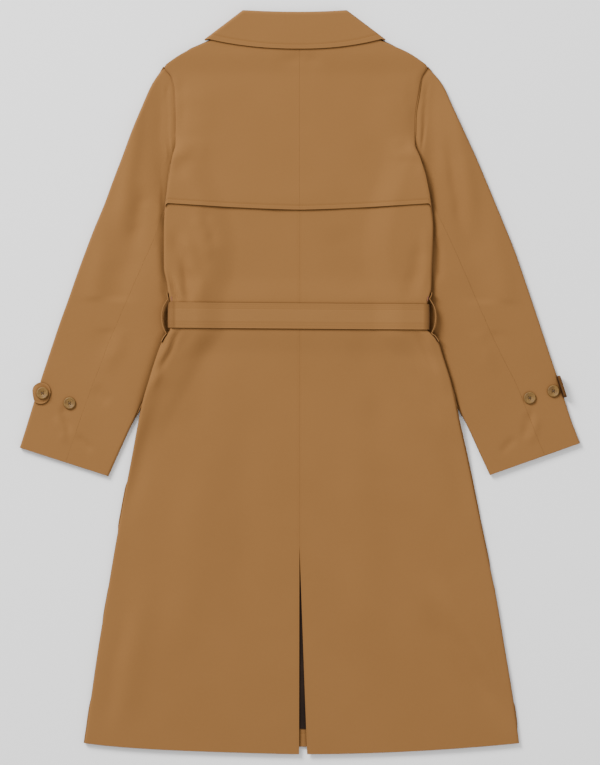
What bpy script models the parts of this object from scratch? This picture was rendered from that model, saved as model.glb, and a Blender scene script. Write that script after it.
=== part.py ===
"""Trench coat laid flat on its fronts, with the back up, the sleeves drawn down beside the body.

Every cloth panel is a wall of its own. A panel's outer points come from the coat's sections: a
section is a flat tube with rolled edges, whose half-widths are read from the tables below. Two
panels share each section, the upper one and the lower one, and they meet at the rolled edge.

Sizes are in millimetres. Across is measured from the centre back seam, down from the collar's fold.
Left and right are those of somebody looking at the back.
"""

import math
from collections import namedtuple

import bmesh
import bpy
from mathutils import Vector

MM = 0.001

# Cloth and gaps
CLOTH = 1.5
FLAP_CLOTH = 1.6
LINING_CLOTH = 0.8
COLLAR_CLOTH = 2.2
STAND_CLOTH = 2.0
TAB_CLOTH = 2.2
LOOP_CLOTH = 1.3
BELT_CLOTH = 2.5
SEAM_GAP = 0.3
ARMHOLE_GAP = 0.9

# Heights of the layers
BODY_HEIGHT = 6.8
SLEEVE_HEIGHT = 6.9
SLEEVE_LIFT = SLEEVE_HEIGHT + 2.0 * SEAM_GAP
BELT_LIFT = BELT_CLOTH + 0.4
COLLAR_LIFT = COLLAR_CLOTH + 0.6
FRONT_STEP = CLOTH + SEAM_GAP

# Body
NECK_DOWN = 36.0
SHOULDER_DOWN = 85.0
UNDERARM_DOWN = 226.5
HEM_DOWN = 1100.0
HEM_SAG = 16.6
HEM_SAG_START_DOWN = 700.0
HEM_SAG_POWER = {"left": 3.0, "right": 2.0}
FRONT_HEM_RISE = 11.0
FRONT_OVERLAP = 30.0
FRONT_STEP_RAMP = (60.0, 120.0)
VENT_TOP_DOWN = 802.0
VENT_OPENING = {"left": 0.6, "right": 12.0}
LINING_HALF_WIDTH = 40.0
LINING_HEM_RISE = 27.0

# Storm flap over the shoulders
FLAP_SIDE_DOWN = 289.5
FLAP_DIP = 10.0
FLAP_HALF_WIDTH = 201.0
FLAP_GAP = 0.39

# Belt
BELT_WIDTH = 38.0
BELT_DOWN = 459.0
BELT_TILT = 3.0 / 400.0

# Collar
COLLAR_TOP = 14.0
COLLAR_FOLD_RADIUS = 5.0
COLLAR_TIP_DOWN = 44.0
COLLAR_CENTRE_DOWN = 58.5
STAND_TOP = 9.6
STAND_BOTTOM = 2.6

# Buttons
BUTTON_RADIUS = 9.0
BUTTON_HEIGHT = 2.8

BodyRow = namedtuple("BodyRow", "down left right")
BODY_ROWS = (
    BodyRow(36.0, 116.5, 104.5),
    BodyRow(47.0, 137.0, 125.0),
    BodyRow(52.5, 149.0, 137.5),
    BodyRow(61.5, 169.4, 158.6),
    BodyRow(75.0, 191.4, 180.6),
    BodyRow(85.0, 202.3, 191.4),
    BodyRow(102.0, 192.0, 183.8),
    BodyRow(122.0, 187.7, 179.7),
    BodyRow(166.0, 186.2, 173.7),
    BodyRow(200.5, 186.4, 173.8),
    BodyRow(226.5, 192.0, 182.3),
    BodyRow(254.0, 196.4, 190.4),
    BodyRow(289.5, 201.0, 196.5),
    BodyRow(327.0, 203.6, 200.9),
    BodyRow(384.0, 203.6, 199.0),
    BodyRow(417.0, 197.7, 197.9),
    BodyRow(428.0, 197.0, 196.6),
    BodyRow(437.0, 194.6, 192.4),
    BodyRow(481.0, 194.6, 192.4),
    BodyRow(489.0, 201.5, 202.5),
    BodyRow(502.5, 208.5, 210.0),
    BodyRow(522.0, 215.7, 216.0),
    BodyRow(558.0, 227.0, 227.3),
    BodyRow(584.0, 234.6, 233.0),
    BodyRow(615.0, 241.4, 239.0),
    BodyRow(669.0, 251.6, 251.3),
    BodyRow(741.0, 265.4, 266.3),
    BodyRow(813.0, 278.3, 281.3),
    BodyRow(885.0, 290.3, 296.3),
    BodyRow(957.0, 302.3, 308.3),
    BodyRow(1029.0, 312.8, 320.3),
    BodyRow(1100.0, 323.0, 330.0),
)

# A sleeve's rows run from its outer edge to its inner edge, from the armhole to the cuff.
# Follow is how much of the armhole's curve the row still has.
SleeveRow = namedtuple(
    "SleeveRow", "outer_left outer_right outer_down inner_left inner_right inner_down follow seam"
)
SLEEVE_ROWS = (
    SleeveRow(204.1, 192.8, 85.0, 192.0, 182.3, 226.5, 1.00, 0.74),
    SleeveRow(221.6, 214.4, 111.0, 190.5, 181.0, 234.0, 0.40, 0.75),
    SleeveRow(237.8, 231.4, 147.0, 186.5, 178.0, 243.0, 0.15, 0.76),
    SleeveRow(252.8, 248.0, 183.0, 180.0, 173.0, 255.0, 0.00, 0.78),
    SleeveRow(266.0, 264.6, 219.0, 172.0, 167.0, 271.0, 0.00, 0.76),
    SleeveRow(279.8, 279.8, 255.0, 163.0, 160.0, 292.0, 0.00, 0.71),
    SleeveRow(293.0, 294.8, 291.0, 155.5, 154.5, 320.0, 0.00, 0.63),
    SleeveRow(308.0, 309.6, 327.0, 151.5, 151.0, 358.0, 0.00, 0.57),
    SleeveRow(321.8, 324.0, 363.0, 155.0, 155.0, 405.0, 0.00, 0.51),
    SleeveRow(335.0, 336.5, 399.0, 166.0, 166.0, 450.0, 0.00, 0.48),
    SleeveRow(347.5, 348.7, 435.0, 183.0, 183.0, 490.0, 0.00, 0.47),
    SleeveRow(360.5, 360.7, 471.0, 202.0, 202.0, 528.0, 0.00, 0.47),
    SleeveRow(372.5, 372.6, 507.0, 220.0, 220.0, 563.0, 0.00, 0.48),
    SleeveRow(384.5, 384.6, 543.0, 238.5, 238.0, 597.0, 0.00, 0.49),
    SleeveRow(396.0, 396.3, 579.0, 255.0, 254.0, 629.0, 0.00, 0.50),
    SleeveRow(407.0, 407.8, 615.0, 271.0, 270.0, 664.0, 0.00, 0.51),
    SleeveRow(420.0, 421.2, 652.0, 287.0, 285.8, 698.0, 0.00, 0.52),
)

# Soft folds of the back's cloth: a line from start to end, its half-width, its height at the middle.
Fold = namedtuple("Fold", "across down to_across to_down half_width height")
BACK_FOLDS = (
    Fold(-183.0, 330.0, -165.0, 426.0, 13.0, -1.4),
    Fold(-165.0, 385.0, -150.0, 432.0, 12.0, 1.6),
    Fold(-192.0, 405.0, -182.0, 436.0, 7.0, -1.3),
    Fold(176.0, 375.0, 158.0, 430.0, 13.0, -1.2),
    Fold(186.0, 330.0, 184.0, 432.0, 9.0, 1.2),
    Fold(-172.0, 482.0, -208.0, 560.0, 10.0, -2.2),
    Fold(-186.0, 484.0, -222.0, 575.0, 8.0, 1.8),
    Fold(-205.0, 560.0, -262.0, 760.0, 16.0, -1.6),
    Fold(-120.0, 486.0, -150.0, 620.0, 22.0, -1.0),
    Fold(168.0, 484.0, 206.0, 560.0, 11.0, -1.9),
    Fold(184.0, 486.0, 222.0, 575.0, 8.0, 1.5),
    Fold(200.0, 560.0, 250.0, 745.0, 16.0, -1.3),
    Fold(95.0, 488.0, 130.0, 640.0, 24.0, -0.9),
    Fold(235.0, 860.0, 282.0, 1075.0, 22.0, -1.6),
    Fold(262.0, 880.0, 308.0, 1085.0, 14.0, 1.2),
    Fold(-232.0, 880.0, -272.0, 1080.0, 20.0, 1.0),
    Fold(-150.0, 120.0, -160.0, 250.0, 24.0, 1.0),
    Fold(140.0, 130.0, 150.0, 245.0, 24.0, 0.9),
)
SLEEVE_FOLDS = (
    Fold(-198.0, 100.0, -200.0, 214.0, 6.0, -1.6),
    Fold(-210.0, 110.0, -232.0, 262.0, 11.0, -2.4),
    Fold(-232.0, 120.0, -262.0, 262.0, 10.0, 1.8),
    Fold(-243.0, 300.0, -285.0, 480.0, 20.0, -1.2),
    Fold(-320.0, 590.0, -340.0, 640.0, 9.0, -1.3),
    Fold(-316.0, 636.0, -298.0, 664.0, 8.0, -1.2),
    Fold(192.0, 112.0, 196.0, 232.0, 6.0, -1.5),
    Fold(208.0, 120.0, 226.0, 262.0, 11.0, -1.8),
    Fold(226.0, 130.0, 254.0, 270.0, 10.0, 1.4),
    Fold(246.0, 300.0, 288.0, 470.0, 20.0, -1.1),
    Fold(322.0, 596.0, 340.0, 645.0, 9.0, -1.0),
)

Spot = namedtuple("Spot", "name across down base")
BUTTONS = (
    Spot("button_tab_left", -385.4, 574.7, 10.2),
    Spot("button_sleeve_left", -344.9, 589.8, SLEEVE_HEIGHT),
    Spot("button_sleeve_right", 345.5, 582.0, SLEEVE_HEIGHT),
    Spot("button_edge_right", 381.0, 571.7, SLEEVE_HEIGHT),
)

Finish = namedtuple("Finish", "colour roughness metallic")
CLOTH_FINISH = Finish((0.356, 0.184, 0.069), 0.85, 0.0)
LINING_FINISH = Finish((0.030, 0.016, 0.010), 0.70, 0.0)
BUTTON_FINISH = Finish((0.330, 0.190, 0.085), 0.35, 0.0)

SIDE_SIGN = {"left": -1.0, "right": 1.0}


# ---- small helpers ----------------------------------------------------------------------------

def soft_step(value, start, end):
    """0 at start, 1 at end, smooth between."""
    share = min(max((value - start) / (end - start), 0.0), 1.0)
    return share * share * (3.0 - 2.0 * share)


def blend(first, second, share):
    return first + (second - first) * share


def read_table(keys, values, key):
    """Value at a key, on a smooth curve through the table's rows that adds no overshoot."""
    if key <= keys[0]:
        return values[0]
    if key >= keys[-1]:
        return values[-1]
    row = max(i for i in range(len(keys) - 1) if keys[i] <= key)
    slopes = [(values[i + 1] - values[i]) / (keys[i + 1] - keys[i]) for i in range(len(keys) - 1)]

    def tangent(i):
        if i in (0, len(keys) - 1):
            return slopes[min(i, len(slopes) - 1)]
        before, after = slopes[i - 1], slopes[i]
        return 0.0 if before * after <= 0.0 else 2.0 * before * after / (before + after)

    span = keys[row + 1] - keys[row]
    t = (key - keys[row]) / span
    rise = t * t * (3.0 - 2.0 * t)
    return (
        blend(values[row], values[row + 1], rise)
        + span * t * (1.0 - t) ** 2 * tangent(row)
        - span * t * t * (1.0 - t) * tangent(row + 1)
    )


def belt_down(across):
    return BELT_DOWN + BELT_TILT * across


def fold_height(folds, across, down):
    """Sum of the soft folds at a place: each is round across and fades towards its two ends.
    The belt presses them flat."""
    total = 0.0
    free = soft_step(abs(down - belt_down(across)) - BELT_WIDTH / 2.0, 2.0, 16.0)
    for fold in folds:
        run = Vector((fold.to_across - fold.across, fold.to_down - fold.down))
        place = Vector((across - fold.across, down - fold.down))
        along = place.dot(run) / run.length_squared
        if -0.15 < along < 1.15:
            off_line = (place - run * along).length / fold.half_width
            fade = soft_step(along, -0.15, 0.25) * (1.0 - soft_step(along, 0.75, 1.15))
            total += fold.height * math.exp(-off_line * off_line) * fade
    return total * free


# ---- the coat's sections ----------------------------------------------------------------------

BODY_DOWNS = [row.down for row in BODY_ROWS]
BODY_EDGES = {side: [getattr(row, side) for row in BODY_ROWS] for side in SIDE_SIGN}
SLEEVE_INNER_DOWNS = [row.inner_down for row in SLEEVE_ROWS]
SLEEVE_INNER_EDGES = {side: [getattr(row, "inner_" + side) for row in SLEEVE_ROWS] for side in SIDE_SIGN}
RAMP_START = 60.0
RAMP_END = 12.0


def body_edge(side, down):
    return read_table(BODY_DOWNS, BODY_EDGES[side], down)


def held_by_belt(down):
    """The belt holds the cloth alike over its whole width; above and below it the cloth comes free."""
    off = down - BELT_DOWN
    held, free = 24.0, 64.0
    if abs(off) >= free:
        return down
    return BELT_DOWN + math.copysign(max(abs(off) - held, 0.0) * free / (free - held), off)


def sleeve_lift(side, across, down):
    """How far the body is raised by the sleeve under its edge."""
    down = held_by_belt(down)
    inner = read_table(SLEEVE_INNER_DOWNS, SLEEVE_INNER_EDGES[side], down)
    beside = soft_step(across, inner - RAMP_START, inner - RAMP_END)
    along = soft_step(down, 188.0, 222.0) * (1.0 - soft_step(down, 590.0, 720.0))
    return SLEEVE_LIFT * beside * along


def body_lift(side, across, down):
    """Height of the fronts' underside over the surface: sleeve, belt and collar lie under it."""
    off_belt = abs(down - belt_down(SIDE_SIGN[side] * across)) - BELT_WIDTH / 2.0
    belt = BELT_LIFT * (1.0 - soft_step(off_belt, 1.0, 42.0))
    collar = COLLAR_LIFT * (1.0 - soft_step(down, 62.0, 100.0))
    return sleeve_lift(side, across, down) + belt + collar


def edge_roll(down):
    """1 where the body's edge is a rolled one, 0 along the armhole, where the sleeve is joined on."""
    armhole = soft_step(down, SHOULDER_DOWN - 8.0, SHOULDER_DOWN + 12.0)
    armhole *= 1.0 - soft_step(down, UNDERARM_DOWN - 24.0, UNDERARM_DOWN)
    return 1.0 - armhole


def hem_sag(side, across, row_down):
    """The hem hangs lower at the centre than at the sides, and the rows above follow it."""
    share = min(abs(across) / body_edge(side, row_down), 1.0)
    return HEM_SAG * (1.0 - share ** HEM_SAG_POWER[side]) * soft_step(row_down, HEM_SAG_START_DOWN, HEM_DOWN)


def body_point(side, start, share, angle, row_down, upper):
    """Outer point of the body. Start is where the panel begins, share runs over its flat part,
    angle goes from 90 on the flat to 0 at the side."""
    edge = body_edge(side, row_down)
    radius = BODY_HEIGHT / 2.0
    turn = math.radians(angle)
    if angle < 90.0:
        across = edge - radius + radius * math.cos(turn) * (1.0 - SEAM_GAP / 2.0 / radius)
    else:
        across = blend(start, edge - radius, share)
    down = row_down + hem_sag(side, across, row_down)
    rise = radius * (1.0 - edge_roll(row_down) * (1.0 - math.sin(turn)))
    height = body_lift(side, across, down) + radius
    if upper:
        height += max(rise, SEAM_GAP)
        height += fold_height(BACK_FOLDS, SIDE_SIGN[side] * across, down) * math.sin(turn)
    else:
        height -= max(rise, SEAM_GAP)
    return Vector((SIDE_SIGN[side] * across, -down, height))


def vent_edge(side, down):
    """Where a back's inner edge lies: at the centre seam, then drawn away from it below the vent's top."""
    open_share = max(down - VENT_TOP_DOWN, 0.0) / (HEM_DOWN + HEM_SAG - VENT_TOP_DOWN)
    return SEAM_GAP / 2.0 + VENT_OPENING[side] * open_share


def back_point(side, share, angle, row_down):
    return body_point(side, vent_edge(side, row_down), share, angle, row_down, True)


def front_point(side, share, angle, row_down):
    """The left front lies over the right one where they overlap."""
    point = body_point(side, -FRONT_OVERLAP, share, angle, row_down, False)
    if side == "left":
        across = -point.x
        point.z += FRONT_STEP * (1.0 - soft_step(across, *FRONT_STEP_RAMP))
    return point


SLEEVE_ROW_KEYS = list(range(len(SLEEVE_ROWS)))
CUFF_DROP = {"left": {"outer": 4.5, "inner": 1.8}, "right": {"outer": -2.2, "inner": 0.0}}


def sleeve_value(column, row):
    return read_table(SLEEVE_ROW_KEYS, [getattr(entry, column) for entry in SLEEVE_ROWS], row)


def sleeve_edge(side, which, row):
    """A point of a sleeve's outer or inner edge, and the way into the sleeve from there."""
    step = 0.05
    cuff = Vector((0.0, CUFF_DROP[side][which] * max(row - SLEEVE_ROW_KEYS[-2], 0.0)))
    here = Vector((sleeve_value(which + "_" + side, row), sleeve_value(which + "_down", row))) + cuff
    before, after = max(row - step, 0.0), min(row + step, SLEEVE_ROW_KEYS[-1])
    run = Vector((
        sleeve_value(which + "_" + side, after) - sleeve_value(which + "_" + side, before),
        sleeve_value(which + "_down", after) - sleeve_value(which + "_down", before),
    )).normalized()
    inwards = Vector((-run.y, run.x)) if which == "outer" else Vector((run.y, -run.x))
    return here, inwards


def sleeve_point(side, row, share, angle, upper):
    """Outer point of a sleeve. Share runs from the outer edge to the inner one."""
    radius = SLEEVE_HEIGHT / 2.0
    turn = math.radians(angle)
    outer, from_outer = sleeve_edge(side, "outer", row)
    inner, from_inner = sleeve_edge(side, "inner", row)
    place = (outer + from_outer * radius).lerp(inner + from_inner * radius, share)
    if angle < 90.0:
        place -= (from_outer if share < 0.5 else from_inner) * radius * math.cos(turn)
    first_outer, from_first_outer = sleeve_edge(side, "outer", 0.0)
    first_inner, from_first_inner = sleeve_edge(side, "inner", 0.0)
    chord = (first_outer + from_first_outer * radius).lerp(first_inner + from_first_inner * radius, share)
    bend = body_edge(side, chord.y) + ARMHOLE_GAP - chord.x
    place.x += bend * sleeve_value("follow", row) * math.sin(turn)
    height = radius + radius * math.sin(turn) * (1.0 if upper else -1.0)
    if upper:
        hidden = soft_step(body_edge(side, place.y) - place.x, -6.0, 2.0) * soft_step(place.y, 215.0, 235.0)
        relief = fold_height(SLEEVE_FOLDS, SIDE_SIGN[side] * place.x, place.y)
        height += relief * math.sin(turn) * (1.0 - hidden)
    return Vector((SIDE_SIGN[side] * place.x, -place.y, height))


# ---- walls from grids -------------------------------------------------------------------------

def finish_material(name, finish):
    material = bpy.data.materials.new(name)
    material.use_nodes = True
    shader = material.node_tree.nodes["Principled BSDF"]
    shader.inputs["Base Color"].default_value = (*finish.colour, 1.0)
    shader.inputs["Roughness"].default_value = finish.roughness
    shader.inputs["Metallic"].default_value = finish.metallic
    return material


def place_grid(rows, columns, point_at):
    """A grid whose vertex in each row and column is put where point_at says, in millimetres."""
    mesh = bmesh.new()
    bmesh.ops.create_grid(mesh, x_segments=columns - 1, y_segments=rows - 1, size=1.0)
    for vertex in mesh.verts:
        column = round((vertex.co.x + 1.0) / 2.0 * (columns - 1))
        row = round((vertex.co.y + 1.0) / 2.0 * (rows - 1))
        vertex.co = point_at(row, column) * MM
    return mesh


def face_outwards(mesh, sample, direction):
    """Turns every face round if those at the vertex nearest the sample don't look along direction."""
    mesh.normal_update()
    nearest = min(mesh.verts, key=lambda vertex: (vertex.co - sample * MM).length)
    if nearest.normal.dot(direction) < 0.0:
        bmesh.ops.reverse_faces(mesh, faces=mesh.faces[:])


def make_object(name, mesh, finish, thickness=None):
    """An object from the mesh, with a wall of the given thickness inside its outer points."""
    data = bpy.data.meshes.new(name)
    mesh.to_mesh(data)
    mesh.free()
    data.shade_smooth()
    data.set_sharp_from_angle(angle=math.radians(50.0))
    data.materials.append(finish_material(name, finish))
    made = bpy.data.objects.new(name, data)
    bpy.context.collection.objects.link(made)
    if thickness:
        wall = made.modifiers.new("wall", "SOLIDIFY")
        wall.thickness = thickness * MM
        wall.offset = -1.0
        wall.use_quality_normals = True
    return made


def panel(name, downs, columns, point_at, thickness, finish, direction):
    mesh = place_grid(len(downs), len(columns), lambda row, column: point_at(*columns[column], downs[row]))
    middle = point_at(*columns[len(columns) // 3], downs[len(downs) // 2])
    face_outwards(mesh, middle, Vector(direction))
    return make_object(name, mesh, finish, thickness)


def spread(first, last, count):
    return [blend(first, last, i / (count - 1)) for i in range(count)]


# ---- body panels ------------------------------------------------------------------------------

EDGE_COLUMNS = [(1.0, 50.0), (1.0, 12.0), (1.0, 0.0)]
BACK_SHARES = (0.0, 0.16, 0.32, 0.47, 0.6, 0.7, 0.78, 0.85, 0.91, 0.96, 1.0)
FRONT_SHARES = (0.0, 0.2, 0.37, 0.53, 0.66, 0.77, 0.86, 0.94, 1.0)
BACK_COLUMNS = [(share, 90.0) for share in BACK_SHARES] + EDGE_COLUMNS
FRONT_COLUMNS = [(share, 90.0) for share in FRONT_SHARES] + EDGE_COLUMNS

SHOULDER_DOWNS = [36.0, 47.0, 61.5, 75.0, 85.0, 97.0]
FLAP_DOWNS = SHOULDER_DOWNS + [115.0, 140.0, 166.0, 188.0, 199.0, 210.0, 222.0, 236.0, 262.0]
SIDE_DOWNS = [298.0, 340.0, 380.0, 408.0, 426.0]
WAIST_DOWNS = [438.0, 459.0, 480.0, 490.0, 504.0, 522.0, 548.0, 584.0]
SKIRT_DOWNS = [625.0, 685.0, 750.0, 820.0, 890.0, 960.0, 1030.0]
BODY_DOWNS_USED = FLAP_DOWNS + SIDE_DOWNS + WAIST_DOWNS + SKIRT_DOWNS
BACK_DOWNS = BODY_DOWNS_USED + [HEM_DOWN]
FRONT_DOWNS = BODY_DOWNS_USED + [HEM_DOWN - FRONT_HEM_RISE]


def build_backs():
    for side in SIDE_SIGN:
        panel(
            "back_" + side,
            BACK_DOWNS,
            BACK_COLUMNS,
            lambda share, angle, down, side=side: back_point(side, share, angle, down),
            CLOTH,
            CLOTH_FINISH,
            (0.0, 0.0, 1.0),
        )


def build_fronts():
    for side in SIDE_SIGN:
        panel(
            "front_" + side,
            FRONT_DOWNS,
            FRONT_COLUMNS,
            lambda share, angle, down, side=side: front_point(side, share, angle, down),
            CLOTH,
            CLOTH_FINISH,
            (0.0, 0.0, -1.0),
        )


def build_lining():
    """The strip of the fronts' lining that shows through the vent, on the inside of the left front."""
    top = 2.0 * CLOTH + 2.0 * SEAM_GAP + LINING_CLOTH
    downs = spread(VENT_TOP_DOWN - 20.0, HEM_DOWN + HEM_SAG - FRONT_HEM_RISE - LINING_HEM_RISE, 4)
    widths = spread(-LINING_HALF_WIDTH, LINING_HALF_WIDTH, 3)
    mesh = place_grid(
        len(downs), len(widths), lambda row, column: Vector((widths[column], -downs[row], top))
    )
    face_outwards(mesh, Vector((0.0, -downs[1], top)), Vector((0.0, 0.0, 1.0)))
    make_object("front_lining", mesh, LINING_FINISH, LINING_CLOTH)


def flap_lower_edge(across):
    share = min(abs(across) / FLAP_HALF_WIDTH, 1.0)
    return FLAP_SIDE_DOWN + FLAP_DIP * (1.0 - share ** 1.4)


def back_normal(side, share, angle, down):
    """The way out of the back's cloth, from two short steps over its surface."""
    here = back_point(side, share, angle, down)
    if share < 1.0:
        step = 0.02 if share < 0.5 else -0.02
        beside = back_point(side, share + step, angle, down)
    else:
        beside = back_point(side, share, angle - 8.0, down)
    normal = (beside - here).cross(back_point(side, share, angle, down + 2.0) - here).normalized()
    turn = math.radians(angle)
    outwards = Vector((SIDE_SIGN[side] * math.cos(turn) * edge_roll(down), 0.0, math.sin(turn)))
    return normal if normal.dot(outwards) >= 0.0 else -normal


FLAP_END = 999.0


def flap_point(side, share, angle, row_down):
    """The storm flap: the back's own points, moved out. Its last row is its lower edge."""
    across = share * body_edge(side, 250.0)
    down = flap_lower_edge(across) if row_down == FLAP_END else row_down
    out = back_normal(side, share, angle, down)
    return back_point(side, share, angle, down) + out * (FLAP_GAP + FLAP_CLOTH)


def build_flap():
    columns = BACK_COLUMNS[:-2]
    for side in SIDE_SIGN:
        panel(
            "flap_" + side,
            FLAP_DOWNS + [FLAP_END],
            columns,
            lambda share, angle, down, side=side: flap_point(side, share, angle, down),
            FLAP_CLOTH,
            CLOTH_FINISH,
            (0.0, 0.0, 1.0),
        )


# ---- sleeves ----------------------------------------------------------------------------------

UNDER_SEAM_SHARE = 0.12
EDGE_ANGLES = (60.0, 30.0, 0.0, 30.0, 60.0)
SLEEVE_KEYS = [0.0, 1.0, 1.5, 2.0, 2.5, 3.0, 3.5, 4.0, 5.0, 6.0, 7.0, 8.0, 9.0, 10.0, 11.0, 12.0]
SLEEVE_KEYS += [13.0, 14.0, 15.0, 16.0]


def sleeve_column(side, row, column, upper_shares, under_shares, edge_share):
    """One column of a wall that runs over a rolled edge, from the upper side to the underside."""
    past_upper = column - len(upper_shares)
    if past_upper < 0:
        return sleeve_point(side, row, upper_shares[column], 90.0, True)
    if past_upper < len(EDGE_ANGLES):
        upper = past_upper <= len(EDGE_ANGLES) // 2
        return sleeve_point(side, row, edge_share, EDGE_ANGLES[past_upper], upper)
    return sleeve_point(side, row, under_shares[past_upper - len(EDGE_ANGLES)], 90.0, False)


def top_sleeve_column(side, row, column):
    """From the seam on the upper side, over the outer edge, to the seam on the underside."""
    seam = sleeve_value("seam", row) - 0.001
    upper_shares = [seam * part for part in (1.0, 0.82, 0.62, 0.42, 0.26, 0.12, 0.0)]
    under_shares = [UNDER_SEAM_SHARE * part for part in (0.0, 0.98)]
    return sleeve_column(side, row, column, upper_shares, under_shares, 0.0)


def under_sleeve_column(side, row, column):
    """From the seam on the upper side, over the inner edge, to the seam on the underside."""
    seam = sleeve_value("seam", row) + 0.001
    upper_shares = [blend(seam, 1.0, part) for part in (0.0, 0.33, 0.66, 1.0)]
    under_shares = [blend(1.0, UNDER_SEAM_SHARE * 1.02, part) for part in (0.0, 0.33, 0.66, 1.0)]
    return sleeve_column(side, row, column, upper_shares, under_shares, 1.0)


def build_sleeves():
    pieces = (("top_sleeve_", top_sleeve_column, 14), ("under_sleeve_", under_sleeve_column, 13))
    for side in SIDE_SIGN:
        for name, point_at, columns in pieces:
            mesh = place_grid(
                len(SLEEVE_KEYS), columns, lambda row, column: point_at(side, SLEEVE_KEYS[row], column)
            )
            face_outwards(mesh, point_at(side, 10.0, 3), Vector((0.0, 0.0, 1.0)))
            make_object(name + side, mesh, CLOTH_FINISH, CLOTH)


# ---- collar -----------------------------------------------------------------------------------

CollarShape = namedtuple(
    "CollarShape", "fold_left fold_right tip_left tip_right top bottom tip_down centre_down first_down"
)
LEAF = CollarShape(85.2, 71.1, 143.0, 129.4, COLLAR_TOP, 0.0, COLLAR_TIP_DOWN, COLLAR_CENTRE_DOWN, 0.0)
STAND_INSET = COLLAR_CLOTH + 0.8
STAND = CollarShape(
    82.2 - STAND_INSET,
    71.1 - STAND_INSET,
    113.0,
    101.0,
    STAND_TOP,
    STAND_BOTTOM,
    NECK_DOWN - 2.0 * SEAM_GAP,
    NECK_DOWN - 2.0 * SEAM_GAP,
    3.5,
)
COLLAR_TURN_ANGLES = (60.0, 30.0, 0.0, -30.0, -60.0, -90.0)
COLLAR_UNDER_REACH = (14.0, 30.0, 46.0)
COLLAR_TOP_SHARES = (-1.0, -0.85, -0.65, -0.42, -0.2, 0.0, 0.2, 0.42, 0.65, 0.85, 1.0)


def collar_columns():
    """From the end on one front, over the turned side, across the back, and round to the other end."""
    left = [("left", -90.0, reach) for reach in reversed(COLLAR_UNDER_REACH)]
    left += [("left", angle, 0.0) for angle in reversed(COLLAR_TURN_ANGLES)]
    middle = [("middle", 90.0, share) for share in COLLAR_TOP_SHARES]
    right = [("right", angle, 0.0) for angle in COLLAR_TURN_ANGLES]
    right += [("right", -90.0, reach) for reach in COLLAR_UNDER_REACH]
    return left + middle + right


def collar_point(shape, part, angle, amount, level, fold_turn):
    """Level goes from 0 at the fold to 1 at the lower edge. Fold turn is the roll's angle, 90 past it."""
    radius = (shape.top - shape.bottom) / 2.0
    middle = (shape.top + shape.bottom) / 2.0
    roll = math.radians(fold_turn)
    fold_radius = min(COLLAR_FOLD_RADIUS, radius * 0.9)
    first = shape.first_down + fold_radius * (1.0 - math.cos(roll))
    side_down = first + level * (shape.tip_down - fold_radius - shape.first_down)
    slant = (side_down - shape.first_down) / (shape.tip_down - shape.first_down)
    half_left = blend(shape.fold_left, shape.tip_left, slant)
    half_right = blend(shape.fold_right, shape.tip_right, slant)
    turn = math.radians(angle)
    if part == "middle":
        share = amount
        across = share * ((half_left if share < 0.0 else half_right) - radius)
    else:
        share = 1.0
        half = half_left if part == "left" else half_right
        across = SIDE_SIGN[part] * (half - radius + radius * math.cos(turn) - amount)
    lower = blend(shape.centre_down, shape.tip_down, abs(share) ** 2.2)
    down = first + level * (lower - fold_radius - shape.first_down)
    height = middle + math.sin(turn) * (radius - fold_radius * (1.0 - math.sin(roll)))
    return Vector((across, -down, height))


def build_collar():
    columns = collar_columns()
    for name, shape, cloth in (("collar", LEAF, COLLAR_CLOTH), ("collar_stand", STAND, STAND_CLOTH)):
        if shape is LEAF:
            rows = [(0.0, turn) for turn in (10.0, 35.0, 60.0)]
            rows += [(level, 90.0) for level in (0.0, 0.2, 0.4, 0.6, 0.8, 0.92, 1.0)]
        else:
            rows = [(level, 90.0) for level in (0.0, 0.33, 0.66, 1.0)]
        mesh = place_grid(
            len(rows), len(columns), lambda row, column: collar_point(shape, *columns[column], *rows[row])
        )
        face_outwards(mesh, collar_point(shape, "middle", 90.0, 0.0, 0.6, 90.0), Vector((0.0, 0.0, 1.0)))
        make_object(name, mesh, CLOTH_FINISH, cloth)


# ---- belt and loops ---------------------------------------------------------------------------

BELT_EDGE_ANGLES = (60.0, 30.0, 0.0, -30.0, -60.0)


def belt_stations():
    """Round the waist: over the back, round the right side, under the fronts, round the left side.
    On the flat it has the body's own columns, so that it lies as the body does."""
    over = [("left", share, 90.0) for share in reversed(BACK_SHARES[1:])]
    over += [("right", share, 90.0) for share in BACK_SHARES[1:]]
    right = [("right", 1.0, angle) for angle in BELT_EDGE_ANGLES]
    under = [("right", share, -90.0) for share in reversed(FRONT_SHARES[1:])]
    under += [("left", share, -90.0) for share in FRONT_SHARES[1:]]
    left = [("left", 1.0, angle) for angle in reversed(BELT_EDGE_ANGLES)]
    return over + right + under + left


def belt_point(side, share, angle, width_share):
    """Outer point of the belt, clear of the body's walls by the seam gap."""
    clear = SEAM_GAP + BELT_CLOTH
    radius = BODY_HEIGHT / 2.0
    sign = SIDE_SIGN[side]
    start = -FRONT_OVERLAP if angle == -90.0 else 0.0
    across = blend(start, body_edge(side, BELT_DOWN) - radius, share)
    down = belt_down(sign * across) + width_share * BELT_WIDTH / 2.0
    turn = math.radians(angle)
    height = body_lift(side, across, down) + radius + (radius + clear) * math.sin(turn)
    reach = across + (radius + clear) * math.cos(turn)
    return Vector((sign * reach, -down, height))


def build_belt():
    stations = belt_stations()
    widths = (-1.0, 0.0, 1.0)
    mesh = place_grid(
        len(widths),
        len(stations) + 1,
        lambda row, column: belt_point(*stations[column % len(stations)], widths[row]),
    )
    bmesh.ops.remove_doubles(mesh, verts=mesh.verts[:], dist=0.00001)
    face_outwards(mesh, belt_point("left", BACK_SHARES[1], 90.0, 0.0), Vector((0.0, 0.0, 1.0)))
    make_object("belt", mesh, CLOTH_FINISH, BELT_CLOTH)


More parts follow.
